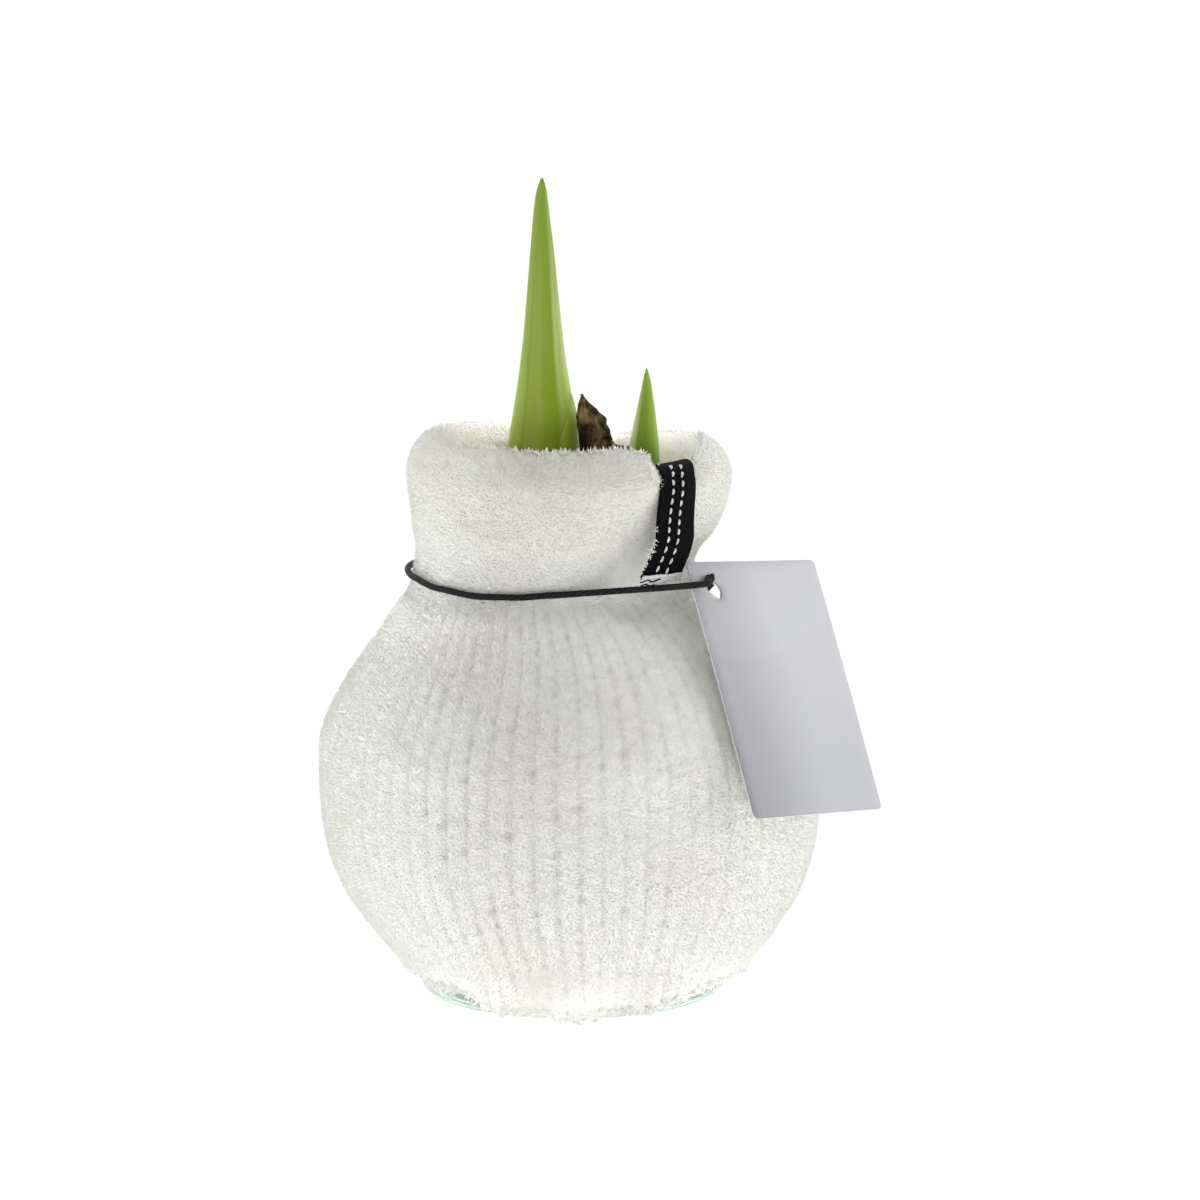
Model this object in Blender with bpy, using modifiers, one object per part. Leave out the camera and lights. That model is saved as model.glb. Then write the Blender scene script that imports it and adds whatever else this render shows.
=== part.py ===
"""An amaryllis bulb growing in a necked glass bulb vase that wears a knitted chenille sleeve.

Metres, +Z up. The origin is the centre of the vase's foot, on the surface that the vase stands on.
-Y is the side that carries the hang tag's cord, and +X is the side that the tag lies on.
"""

import math

import bmesh
import bpy
from mathutils import Euler, Matrix, Vector

MM = 0.001
OBJECT_NAME = "amaryllis_in_knit_covered_vase"

# Clearance between pieces that touch.
GAP = 0.3 * MM

# The glass vase: (height, outer radius) from the foot up to the rim.
VASE_OUTLINE = [
    (1.2, 45.0), (3.5, 45.6), (7.5, 45.9), (14.0, 50.2), (22.0, 56.2), (31.0, 62.9), (42.0, 67.4),
    (54.0, 69.4), (67.0, 69.9), (78.0, 69.0), (90.0, 63.9), (100.0, 57.2), (108.5, 49.4),
    (117.0, 39.3), (122.5, 33.6), (129.0, 31.5), (135.0, 32.4), (141.5, 36.0), (150.0, 40.4),
    (157.0, 42.2), (161.9, 42.0),
]
VASE_FOOT_RADIUS = 43.5
VASE_WALL = 2.6 * MM

# The knitted sleeve: (height, outer radius) from the hem up to the rim, then into the mouth.
SLEEVE_OUTLINE = [
    (6.5, 51.0), (13.0, 55.4), (21.0, 61.3), (31.0, 68.0), (42.0, 72.4), (54.0, 74.5), (67.0, 74.9),
    (79.0, 74.1), (90.0, 69.6), (100.0, 63.4), (109.0, 56.0), (117.0, 48.9), (122.5, 43.3),
    (129.0, 41.4), (135.0, 42.0), (141.5, 45.0), (150.0, 47.2), (157.5, 48.2), (163.5, 46.6),
    (167.0, 43.9), (168.3, 40.9), (167.0, 37.9), (163.5, 35.5), (158.5, 34.4), (152.8, 34.0),
]
SLEEVE_RISING_POINTS = 19
SLEEVE_WAIST = 13
SLEEVE_THICKNESS = 3.2 * MM
# The knit is drawn to one side where the cord gathers it at the neck, and sits off centre at the foot.
SLEEVE_REST_SHIFT = -0.8
SLEEVE_NECK_SHIFT = -4.9
SLEEVE_NECK_HEIGHT = 127.0
SLEEVE_NECK_SPAN = 14.0
SLEEVE_FOOT_SHIFT = 2.1
SLEEVE_FOOT_SPAN = 32.0

# The bulb: (height, radius) from the basal plate up to the neck.
BULB_OUTLINE = [
    (110.0, 8.0), (112.0, 13.5), (117.0, 19.5), (124.0, 24.6), (131.0, 28.0), (137.0, 29.7),
    (142.5, 31.8), (147.0, 32.6), (151.0, 31.6), (155.0, 28.9), (158.5, 23.6), (160.7, 16.0),
    (161.8, 8.0),
]
BASAL_PLATE_RADIUS = 7.6 * MM
BASAL_PLATE_TOP = 109.7 * MM
BASAL_PLATE_HEIGHT = 3.5 * MM
ROOT_COUNT = 7
ROOT_RADIUS = 1.5 * MM
ROOT_REACH = 13.0 * MM
ROOT_DROP = 22.0 * MM

# The main shoot, a flattened cone of clasping leaves.
SHOOT_CENTRE = Vector((-8.9 * MM, 0.0, 0.0))
SHOOT_BASE = 153.0 * MM
SHOOT_FULL_HEIGHT = 164.0 * MM
SHOOT_TIP = 244.6 * MM
SHOOT_HALF_WIDTH = 10.4 * MM
SHOOT_FLATNESS = 0.66
SHOOT_TAPER = 0.9
LEAF_THICKNESS = 1.3 * MM

# The side shoot, on the bulb's right shoulder.
SIDE_CENTRE = Vector((22.0 * MM, -8.5 * MM, 0.0))
SIDE_BASE = 152.5 * MM
SIDE_TIP = 189.4 * MM
SIDE_HALF_WIDTH = 4.1 * MM
SIDE_FLATNESS = 0.8
SIDE_SHEATH_THICKNESS = 0.9 * MM

# The dry, papery scales of the bulb's neck.
SCALE_CENTRE = Vector((6.2 * MM, -4.5 * MM, 0.0))
SCALE_BASE = 162.1 * MM
SCALE_TIP = 180.0 * MM
SCALE_HALF_WIDTH = 8.2 * MM
SCALE_THICKNESS = 0.9 * MM

# The hang tag, placed by its punched hole.
TAG_WIDTH = 57.5 * MM
TAG_HEIGHT = 78.2 * MM
TAG_THICKNESS = 0.8 * MM
TAG_CORNER_RADIUS = 1.6 * MM
TAG_HOLE_RADIUS = 2.8 * MM
TAG_HOLE_FROM_SIDE = 8.9 * MM
TAG_HOLE_FROM_TOP = 8.3 * MM
TAG_HOLE_PLACE = Vector((41.3 * MM, -36.7 * MM, 127.4 * MM))
TAG_TURN = Euler((math.radians(-24.7), math.radians(5.7), math.radians(49.4)), "YXZ")

# The elastic cord that gathers the neck and carries the tag.
CORD_RADIUS = 0.95 * MM
CORD_HEIGHT = 126.7 * MM
CORD_TILT = 0.2 * MM
CORD_LEAVES_NECK = math.radians(-88.0)
CORD_REJOINS_NECK = math.radians(-6.0)
CORD_RING_POINTS = 44
KNOT_RADIUS = 1.9 * MM

# The woven label ribbon that hangs over the rim.
RIBBON_WIDTH = 15.0 * MM
RIBBON_THICKNESS = 0.6 * MM
RIBBON_AZIMUTH = math.radians(-46.5)
RIBBON_END = 131.0 * MM
RIBBON_INSIDE_END = 158.0 * MM
RIBBON_SWING = math.radians(-10.5)


def smooth_through(points, steps):
    """A Catmull-Rom curve through the points, with this many steps between neighbours."""
    points = [Vector(point) for point in points]
    ends = [2 * points[0] - points[1]] + points + [2 * points[-1] - points[-2]]
    curve = []
    for before, start, end, after in zip(ends, ends[1:], ends[2:], ends[3:]):
        for step in range(steps):
            t = step / steps
            curve.append(
                0.5
                * (
                    2 * start
                    + (end - before) * t
                    + (2 * before - 5 * start + 4 * end - after) * t**2
                    + (3 * start - before - 3 * end + after) * t**3
                )
            )
    curve.append(points[-1])
    return curve


def radius_at(outline, height):
    """The outline's radius at this height, along its rising part, in metres."""
    for (low, inner), (high, outer) in zip(outline, outline[1:]):
        if low <= height / MM <= high:
            share = (height / MM - low) / (high - low)
            return (inner + (outer - inner) * share) * MM
    return outline[-1][1] * MM


def sleeve_shift(height):
    """How far the knit's axis lies from the vase's, along X."""
    neck = math.exp(-(((height / MM - SLEEVE_NECK_HEIGHT) / SLEEVE_NECK_SPAN) ** 2))
    foot = math.exp(-((height / MM / SLEEVE_FOOT_SPAN) ** 2))
    return (SLEEVE_REST_SHIFT + SLEEVE_NECK_SHIFT * neck + SLEEVE_FOOT_SHIFT * foot) * MM


def new_collection(name):
    collection = bpy.data.collections.new(name)
    bpy.context.scene.collection.children.link(collection)
    return collection


def new_material(name, colour, roughness, metallic=0.0):
    material = bpy.data.materials.new(name)
    material.use_nodes = True
    shader = material.node_tree.nodes["Principled BSDF"]
    shader.inputs["Base Color"].default_value = (*colour, 1.0)
    shader.inputs["Roughness"].default_value = roughness
    shader.inputs["Metallic"].default_value = metallic
    material.diffuse_color = (*colour, 1.0)
    return material


def add_object(collection, name, data, material=None):
    obj = bpy.data.objects.new(name, data)
    collection.objects.link(obj)
    if material:
        data.materials.append(material)
    return obj


def mesh_from(bm, name):
    """The mesh of a bmesh, with its normals outward and smooth shading."""
    bmesh.ops.recalc_face_normals(bm, faces=bm.faces)
    mesh = bpy.data.meshes.new(name)
    bm.to_mesh(mesh)
    bm.free()
    mesh.shade_smooth()
    mesh.set_sharp_from_angle(angle=math.radians(40))
    return mesh


def baked(obj):
    """Replaces the object's data by its evaluated mesh, with coincident points joined."""
    graph = bpy.context.evaluated_depsgraph_get()
    mesh = bpy.data.meshes.new_from_object(obj.evaluated_get(graph))
    bm = bmesh.new()
    bm.from_mesh(mesh)
    bmesh.ops.remove_doubles(bm, verts=bm.verts, dist=0.01 * MM)
    bm.to_mesh(mesh)
    bm.free()
    collection = obj.users_collection[0]
    result = bpy.data.objects.new(obj.name + "_mesh", mesh)
    collection.objects.link(result)
    result.matrix_world = obj.matrix_world
    name = obj.name
    bpy.data.objects.remove(obj)
    result.name = name
    return result


def turned(collection, name, profile, material, steps):
    """A profile of (radius, height) points turned about Z."""
    mesh = bpy.data.meshes.new(name)
    points = [(radius, 0.0, height) for radius, height in profile]
    mesh.from_pydata(points, [(i, i + 1) for i in range(len(points) - 1)], [])
    obj = add_object(collection, name, mesh, material)
    screw = obj.modifiers.new("Turn", "SCREW")
    screw.steps = steps
    screw.render_steps = steps
    screw.use_merge_vertices = True
    screw.merge_threshold = 0.00001
    screw.use_smooth_shade = True
    return obj


def outline_profile(outline):
    """(radius, height) in metres along the outline."""
    return [(radius * MM, height * MM) for height, radius in outline]


def make_vase(collection):
    material = new_material("vase_glass", (0.86, 0.92, 0.88), 0.05)
    foot = [(0.0, 0.0), (VASE_FOOT_RADIUS * MM, 0.0)]
    profile = foot + outline_profile(VASE_OUTLINE)
    vase = turned(collection, "glass_vase", profile[::-1], material, 40)
    wall = vase.modifiers.new("Wall", "SOLIDIFY")
    wall.thickness = VASE_WALL
    wall.offset = -1.0
    wall.use_even_offset = True
    return vase


def make_sleeve(collection):
    """The knit's body up to the waist, and its collar, which rolls over the rim into the mouth."""
    material = new_material("knit", (0.72, 0.71, 0.66), 0.95)
    body = outline_profile(SLEEVE_OUTLINE[: SLEEVE_WAIST + 1])
    collar = outline_profile(SLEEVE_OUTLINE[SLEEVE_WAIST:])
    waist_radius, waist_height = collar[0]
    collar[0] = (waist_radius, waist_height + GAP)
    for name, profile in (("knit_sleeve", body), ("knit_collar", collar)):
        knit = turned(collection, name, profile[::-1], material, 40)
        thickness = knit.modifiers.new("Thickness", "SOLIDIFY")
        thickness.thickness = SLEEVE_THICKNESS
        thickness.offset = -1.0
        thickness.use_even_offset = True
        knit = baked(knit)
        for vertex in knit.data.vertices:
            vertex.co.x += sleeve_shift(vertex.co.z)


def ellipse(centre, half_width, half_depth, height, count):
    turn = [2 * math.pi * i / count for i in range(count)]
    return [
        (centre.x + half_width * math.cos(a), centre.y + half_depth * math.sin(a), height)
        for a in turn
    ]


def crescent(centre, half_width, half_depth, height, thickness, start, end, count):
    """A bent strip on the outside of an ellipse, from one angle to another, thin at its margins."""
    outer, inner = [], []
    for i in range(count + 1):
        angle = start + (end - start) * i / count
        bulk = 0.25 + 0.75 * math.sin(math.pi * i / count) ** 0.5 if 0 < i < count else 0.25
        for side, lift in ((outer, thickness * bulk), (inner, 0.0)):
            x = centre.x + (half_width + lift) * math.cos(angle)
            y = centre.y + (half_depth + lift) * math.sin(angle)
            side.append((x, y, height))
    return outer + inner[::-1]


def loft(collection, name, sections, material):
    """A closed solid through sections that have the same number of points."""
    bm = bmesh.new()
    rings = [[bm.verts.new(point) for point in section] for section in sections]
    count = len(rings[0])
    for low, high in zip(rings, rings[1:]):
        for i in range(count):
            j = (i + 1) % count
            bm.faces.new((low[i], low[j], high[j], high[i]))
    bm.faces.new(rings[0][::-1])
    bm.faces.new(rings[-1])
    bmesh.ops.triangulate(bm, faces=[face for face in bm.faces if len(face.verts) > 4])
    return add_object(collection, name, mesh_from(bm, name), material)


def shoot_half_width(height):
    """The main shoot's half width, which tapers from the rim's height up to the tip."""
    rise = max(0.0, (height - SHOOT_FULL_HEIGHT) / (SHOOT_TIP - SHOOT_FULL_HEIGHT))
    return SHOOT_HALF_WIDTH * (1.0 - min(rise, 0.985)) ** SHOOT_TAPER


def make_main_shoot(collection):
    leaf = new_material("leaf", (0.30, 0.42, 0.06), 0.45)
    pale = new_material("leaf_sheath", (0.42, 0.52, 0.12), 0.5)
    levels = [SHOOT_BASE + (SHOOT_TIP - SHOOT_BASE) * i / 9 for i in range(10)]
    core = []
    for height in levels:
        half = max(shoot_half_width(height) - LEAF_THICKNESS - GAP, 0.45 * MM)
        height = min(height, SHOOT_TIP - 2.0 * MM)
        core.append(ellipse(SHOOT_CENTRE, half, half * SHOOT_FLATNESS, height, 16))
    loft(collection, "bud_spathe", core[:-1], leaf)
    clasping = (
        ("shoot_leaf_left", 100, 260, SHOOT_BASE, SHOOT_TIP - 0.8 * MM, 0.0, leaf),
        ("shoot_leaf_right", -80, 80, SHOOT_BASE, SHOOT_TIP - 14.0 * MM, 0.0, leaf),
        ("shoot_sheath", -112, 68, SHOOT_BASE, SHOOT_FULL_HEIGHT + 14.0 * MM, 1.0, pale),
    )
    for name, start, end, base, tip, layer, material in clasping:
        sections = []
        for i in range(8):
            rise = i / 7
            height = base + (tip - base) * rise
            lift = layer * (LEAF_THICKNESS + GAP)
            inside = max(shoot_half_width(height) - LEAF_THICKNESS - GAP, 0.45 * MM)
            half = inside + 2 * GAP
            margin = 1.0 - 0.55 * rise**2
            middle = math.radians((start + end) / 2)
            spread = math.radians((end - start) / 2) * margin
            depth = inside * SHOOT_FLATNESS + 2 * GAP
            thickness = LEAF_THICKNESS * (1.0 - 0.6 * rise)
            sections.append(
                crescent(
                    SHOOT_CENTRE,
                    half + lift,
                    depth + lift,
                    height,
                    thickness,
                    middle - spread,
                    middle + spread,
                    8,
                )
            )
        loft(collection, name, sections, material)


def side_core_half_width(height):
    rise = (height - SIDE_BASE) / (SIDE_TIP - SIDE_BASE)
    taper = 1.0 - 0.86 * rise**1.6
    return max(SIDE_HALF_WIDTH * taper - SIDE_SHEATH_THICKNESS, 0.4 * MM)


def make_side_shoot(collection):
    leaf = new_material("young_leaf", (0.36, 0.48, 0.08), 0.45)
    core, sheath = [], []
    left = math.radians(190)
    for i in range(7):
        rise = i / 6
        height = SIDE_BASE + (SIDE_TIP - SIDE_BASE) * rise
        half = side_core_half_width(height)
        core.append(ellipse(SIDE_CENTRE, half, half * SIDE_FLATNESS, height, 12))
        height = SIDE_BASE + (SIDE_TIP - 6.0 * MM - SIDE_BASE) * rise
        half = side_core_half_width(height)
        spread = math.radians(105 - 55 * rise)
        sheath.append(
            crescent(
                SIDE_CENTRE,
                half + 2 * GAP,
                half * SIDE_FLATNESS + 2 * GAP,
                height,
                SIDE_SHEATH_THICKNESS,
                left - spread,
                left + spread,
                7,
            )
        )
    loft(collection, "side_shoot_leaf", core, leaf)
    loft(collection, "side_shoot_sheath", sheath, leaf)


def make_neck_scales(collection):
    dry = new_material("dry_scale", (0.22, 0.12, 0.05), 0.7)
    for name, start, end, tip in (
        ("neck_scale_front", -150, -10, SCALE_TIP),
        ("neck_scale_back", 5, 112, SCALE_TIP - 7.0 * MM),
    ):
        sections = []
        for i in range(7):
            rise = i / 6
            height = SCALE_BASE + (tip - SCALE_BASE) * rise
            half = SCALE_HALF_WIDTH * (1.0 - 0.82 * rise**1.3)
            centre = SCALE_CENTRE + Vector((-1.2 * MM, 2.2 * MM, 0.0)) * rise
            start_angle = math.radians(start)
            end_angle = math.radians(start + (end - start) * (1.0 - 0.3 * rise))
            sections.append(
                crescent(
                    centre, half, half * 0.7, height, SCALE_THICKNESS, start_angle, end_angle, 8
                )
            )
        loft(collection, name, sections, dry)


def make_bulb(collection, cutters):
    material = new_material("bulb_skin", (0.26, 0.15, 0.07), 0.65)
    profile = [(0.0, BULB_OUTLINE[0][0] * MM)] + outline_profile(BULB_OUTLINE)
    profile.append((0.0, BULB_OUTLINE[-1][0] * MM))
    bulb = baked(turned(collection, "bulb", profile[::-1], material, 36))
    # Each shoot grows out of a pocket in the bulb's neck.
    main_width = SHOOT_HALF_WIDTH + 3.4 * MM
    main_depth = SHOOT_HALF_WIDTH * SHOOT_FLATNESS + 4.2 * MM
    pockets = (
        (SHOOT_CENTRE, main_width, main_depth, SHOOT_BASE),
        (SIDE_CENTRE, SIDE_HALF_WIDTH + 1.2 * MM, SIDE_HALF_WIDTH + 0.4 * MM, SIDE_BASE),
    )
    for number, (centre, half_width, half_depth, base) in enumerate(pockets):
        sections = [
            ellipse(centre, half_width, half_depth, height, 24)
            for height in (base - GAP, base + 30.0 * MM)
        ]
        pocket = loft(cutters, f"pocket_cutter_{number}", sections, None)
        pocket.hide_render = True
        pocket.display_type = "WIRE"
        cut = bulb.modifiers.new(f"Pocket {number}", "BOOLEAN")
        cut.operation = "DIFFERENCE"
        cut.object = pocket


def tube(collection, name, route, radius, material):
    curve = bpy.data.curves.new(name, "CURVE")
    curve.dimensions = "3D"
    curve.bevel_depth = radius
    curve.bevel_resolution = 2
    curve.use_fill_caps = True
    spline = curve.splines.new("POLY")
    spline.points.add(len(route) - 1)
    for point, place in zip(spline.points, route):
        point.co = (*place, 1.0)
    return add_object(collection, name, curve, material)


def make_roots(collection, cutters):
    material = new_material("root", (0.72, 0.62, 0.45), 0.8)
    bm = bmesh.new()
    bmesh.ops.create_cone(
        bm,
        cap_ends=True,
        segments=24,
        radius1=BASAL_PLATE_RADIUS,
        radius2=BASAL_PLATE_RADIUS,
        depth=BASAL_PLATE_HEIGHT,
        matrix=Matrix.Translation((0.0, 0.0, BASAL_PLATE_TOP - BASAL_PLATE_HEIGHT / 2)),
    )
    plate = add_object(collection, "basal_plate_and_roots", mesh_from(bm, "basal_plate"), material)
    for number in range(ROOT_COUNT):
        angle = 2 * math.pi * number / ROOT_COUNT
        out = Vector((math.cos(angle), math.sin(angle), 0.0))
        drop = ROOT_DROP * (0.8 + 0.2 * math.cos(2.3 * number))
        start = BASAL_PLATE_TOP - BASAL_PLATE_HEIGHT / 2
        route = smooth_through(
            [
                out * 4.6 * MM + Vector((0.0, 0.0, start)),
                out * ROOT_REACH * 0.66 + Vector((0.0, 0.0, start - drop * 0.3)),
                out * ROOT_REACH * 0.95 + Vector((0.0, 0.0, start - drop * 0.68)),
                out * ROOT_REACH + Vector((0.0, 0.0, start - drop)),
            ],
            2,
        )
        root = baked(tube(cutters, f"root_{number}", route, ROOT_RADIUS, None))
        root.hide_render = True
        root.display_type = "WIRE"
        join = plate.modifiers.new(f"Root {number}", "BOOLEAN")
        join.operation = "UNION"
        join.object = root


def make_tag(collection, cutters):
    material = new_material("tag_card", (0.50, 0.50, 0.55), 0.35)
    centre = Vector((TAG_WIDTH / 2 - TAG_HOLE_FROM_SIDE, 0.0, TAG_HOLE_FROM_TOP - TAG_HEIGHT / 2))
    bm = bmesh.new()
    bmesh.ops.create_cube(
        bm,
        size=1.0,
        matrix=Matrix.Translation(centre)
        @ Matrix.Diagonal((TAG_WIDTH, TAG_THICKNESS, TAG_HEIGHT, 1.0)),
    )
    corners = [
        edge for edge in bm.edges if abs((edge.verts[0].co - edge.verts[1].co).y) > TAG_THICKNESS / 2
    ]
    bmesh.ops.bevel(
        bm, geom=corners, offset=TAG_CORNER_RADIUS, segments=5, affect="EDGES", profile=0.5
    )
    tag = add_object(collection, "hang_tag", mesh_from(bm, "hang_tag"), material)
    tag.location = TAG_HOLE_PLACE
    tag.rotation_mode = "YXZ"
    tag.rotation_euler = TAG_TURN
    bm = bmesh.new()
    bmesh.ops.create_cone(
        bm,
        cap_ends=True,
        segments=20,
        radius1=TAG_HOLE_RADIUS,
        radius2=TAG_HOLE_RADIUS,
        depth=TAG_THICKNESS * 6,
        matrix=Matrix.Rotation(math.pi / 2, 4, "X"),
    )
    punch = add_object(cutters, "hole_cutter", mesh_from(bm, "hole_cutter"))
    punch.location = TAG_HOLE_PLACE
    punch.rotation_mode = "YXZ"
    punch.rotation_euler = TAG_TURN
    punch.hide_render = True
    punch.display_type = "WIRE"
    hole = tag.modifiers.new("Hole", "BOOLEAN")
    hole.operation = "DIFFERENCE"
    hole.object = punch


def tag_point(across, out, up):
    """A place given from the tag's hole: across the tag, out of its face, and up it."""
    return TAG_HOLE_PLACE + TAG_TURN.to_matrix() @ Vector((across, -out, up))


def neck_point(angle):
    """A place on the cord's ring round the gathered neck."""
    height = CORD_HEIGHT + CORD_TILT * math.cos(angle)
    radius = radius_at(SLEEVE_OUTLINE[:SLEEVE_RISING_POINTS], CORD_HEIGHT) + CORD_RADIUS + 3 * GAP
    return Vector(
        (radius * math.cos(angle) + sleeve_shift(height), radius * math.sin(angle), height)
    )


def make_cord(collection):
    elastic = new_material("elastic", (0.01, 0.01, 0.012), 0.7)
    knot_centre = tag_point(0.0, TAG_THICKNESS / 2 + KNOT_RADIUS - 0.2 * MM, 0.9 * MM)
    turn = CORD_LEAVES_NECK - (CORD_REJOINS_NECK - 2 * math.pi)
    ring = [
        neck_point(CORD_LEAVES_NECK - turn * i / CORD_RING_POINTS)
        for i in range(CORD_RING_POINTS + 1)
    ]
    beside_knot = tag_point(-KNOT_RADIUS - GAP - 0.5 * MM, TAG_THICKNESS / 2 + 1.6 * MM, 0.9 * MM)
    over_edge = tag_point(-TAG_HOLE_FROM_SIDE, TAG_THICKNESS / 2 + 1.5 * MM, 0.0)
    behind_hole = tag_point(0.0, -TAG_THICKNESS / 2 - 3.0 * MM, -0.6 * MM)
    in_hole = tag_point(0.0, -0.5 * MM, 0.4 * MM)
    front = smooth_through([beside_knot, over_edge, ring[0]], 5)
    back = smooth_through([ring[-1], behind_hole, in_hole], 5)
    tube(collection, "neck_elastic", front[:-1] + ring + back[1:], CORD_RADIUS, elastic)
    bm = bmesh.new()
    bmesh.ops.create_uvsphere(bm, u_segments=14, v_segments=8, radius=KNOT_RADIUS)
    knot = add_object(collection, "elastic_knot", mesh_from(bm, "elastic_knot"), elastic)
    knot.location = knot_centre
    knot.rotation_mode = "YXZ"
    knot.rotation_euler = TAG_TURN


def make_ribbon(collection):
    """A strip that starts inside the mouth, passes over the rim and hangs down in front of the neck."""
    material = new_material("label_ribbon", (0.012, 0.014, 0.016), 0.75)
    stand_off = RIBBON_THICKNESS + GAP
    over_rim = [
        (33.9 * MM - stand_off, RIBBON_INSIDE_END),
        (35.6 * MM - stand_off, 165.4 * MM),
        (40.6 * MM, 168.3 * MM + stand_off),
        (46.1 * MM + stand_off, 164.6 * MM),
        (48.3 * MM + stand_off, 157.5 * MM),
    ]
    hanging = [(49.6 * MM + stand_off, 148.0 * MM), (51.0 * MM + stand_off, 139.0 * MM)]
    end = [(50.6 * MM + stand_off, RIBBON_END)]
    path = smooth_through([(radius, height, 0.0) for radius, height in over_rim + hanging + end], 3)
    bm = bmesh.new()
    rows = []
    columns = 5
    for point in path:
        radius, height = point.x, point.y
        fall = max(0.0, (168.0 * MM - height) / (168.0 * MM - RIBBON_END))
        middle = RIBBON_AZIMUTH + (RIBBON_SWING * fall if radius > 45.0 * MM else 0.0)
        half_angle = RIBBON_WIDTH / 2 / max(radius, 1.0 * MM)
        row = []
        for column in range(columns):
            angle = middle + half_angle * (2 * column / (columns - 1) - 1)
            place = (
                radius * math.cos(angle) + sleeve_shift(max(height, 150.0 * MM)),
                radius * math.sin(angle),
                height,
            )
            row.append(bm.verts.new(place))
        rows.append(row)
    for low, high in zip(rows, rows[1:]):
        for i in range(columns - 1):
            bm.faces.new((low[i], low[i + 1], high[i + 1], high[i]))
    mesh = mesh_from(bm, "label_ribbon")
    ribbon = add_object(collection, "label_ribbon", mesh, material)
    thickness = ribbon.modifiers.new("Thickness", "SOLIDIFY")
    thickness.thickness = RIBBON_THICKNESS
    thickness.offset = 0.0


def main():
    for obj in list(bpy.data.objects):
        bpy.data.objects.remove(obj)
    parts = new_collection(OBJECT_NAME)
    cutters = new_collection("cutters")
    make_vase(parts)
    make_sleeve(parts)
    make_bulb(parts, cutters)
    make_roots(parts, cutters)
    make_main_shoot(parts)
    make_side_shoot(parts)
    make_neck_scales(parts)
    make_tag(parts, cutters)
    make_cord(parts)
    make_ribbon(parts)


main()
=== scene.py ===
import math

import bmesh
import bpy
import numpy as np
from mathutils import Euler, Matrix, Vector


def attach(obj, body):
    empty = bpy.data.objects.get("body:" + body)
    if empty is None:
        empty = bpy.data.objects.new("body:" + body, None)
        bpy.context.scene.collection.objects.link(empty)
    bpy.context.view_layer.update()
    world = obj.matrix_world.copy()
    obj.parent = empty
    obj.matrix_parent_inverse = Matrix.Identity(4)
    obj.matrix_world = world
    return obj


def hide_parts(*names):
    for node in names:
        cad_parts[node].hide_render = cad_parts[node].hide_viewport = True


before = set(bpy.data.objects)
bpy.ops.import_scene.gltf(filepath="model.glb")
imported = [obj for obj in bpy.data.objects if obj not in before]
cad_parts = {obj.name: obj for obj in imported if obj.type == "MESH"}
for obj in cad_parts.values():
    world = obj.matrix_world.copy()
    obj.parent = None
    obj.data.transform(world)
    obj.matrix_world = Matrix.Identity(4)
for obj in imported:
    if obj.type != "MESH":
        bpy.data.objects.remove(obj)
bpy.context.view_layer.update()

MM = 0.001
TURN = 2 * math.pi

# ---------------------------------------------------------------- sizes, in millimetres
# The knitted sleeve's outline, as (height, radius) from the hem over the rim into the mouth.
SLEEVE_OUTLINE = [
    (6.5, 51.0), (13.0, 55.4), (21.0, 61.3), (31.0, 68.0), (42.0, 72.4), (54.0, 74.5), (67.0, 74.9),
    (79.0, 74.1), (90.0, 69.6), (100.0, 63.4), (109.0, 56.0), (117.0, 48.9), (122.5, 43.3),
    (129.0, 41.4), (135.0, 42.0), (141.5, 45.0), (150.0, 47.2), (157.5, 48.2), (163.5, 46.6),
    (167.0, 43.9), (168.3, 40.9), (167.0, 37.9), (163.5, 35.5), (158.5, 34.4), (152.8, 34.0),
]
OUTSIDE_ROWS = 19  # the outline's rows that rise up its outside
WAIST = 127.0
# The knit hangs off the vase's axis: everywhere, at the pulled neck and at the foot.
REST_SHIFT = -0.8
NECK_SHIFT, NECK_SPAN = -4.9, 14.0
FOOT_SHIFT, FOOT_SPAN = 2.1, 32.0
# The rim's and the hem's heights change round the vase: (azimuth in degrees, lift).
RIM_LIFTS = [
    (-180, 0.4), (-140, 0.3), (-118, -0.5), (-95, -0.6), (-66, -0.6), (-59, -1.0), (-53, -6.2),
    (-40, -6.6), (-20, -3.2), (5, -1.4), (25, -1.2), (50, -2.4), (76, -4.4), (100, -2.4), (128, 0.6),
    (155, 1.0),
]
HEM_LIFTS = [
    (-180, 0.6), (-150, 1.0), (-132, -0.2), (-114, -4.4), (-90, -5.1), (-70, -4.6), (-54, -1.8),
    (-38, 0.6), (-15, 1.0), (60, 0.2), (120, 0.0),
]
WALES = 70
COURSE = 5.3
ROW = 0.95
BODY_STEPS_PER_WALE = 6
COLLAR_STEPS_PER_WALE = 5


def smooth_through(points, steps):
    """A Catmull-Rom curve through the points, with this many steps between neighbours."""
    points = [Vector(point) for point in points]
    ends = [2 * points[0] - points[1]] + points + [2 * points[-1] - points[-2]]
    curve = []
    for before, start, end, after in zip(ends, ends[1:], ends[2:], ends[3:]):
        for step in range(steps):
            t = step / steps
            pull = 2 * before - 5 * start + 4 * end - after
            push = 3 * start - before - 3 * end + after
            curve.append(0.5 * (2 * start + (end - before) * t + pull * t**2 + push * t**3))
    curve.append(points[-1])
    return curve


def smooth_outline(rows, steps):
    """The curve through (height, radius) rows, as points with the radius in X and the height in Y."""
    return smooth_through([(radius, height, 0.0) for height, radius in rows], steps)


def lengths_along(points):
    """The length along the points, at each of them."""
    lengths = [0.0]
    for a, b in zip(points, points[1:]):
        lengths.append(lengths[-1] + (b - a).length)
    return lengths


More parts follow.
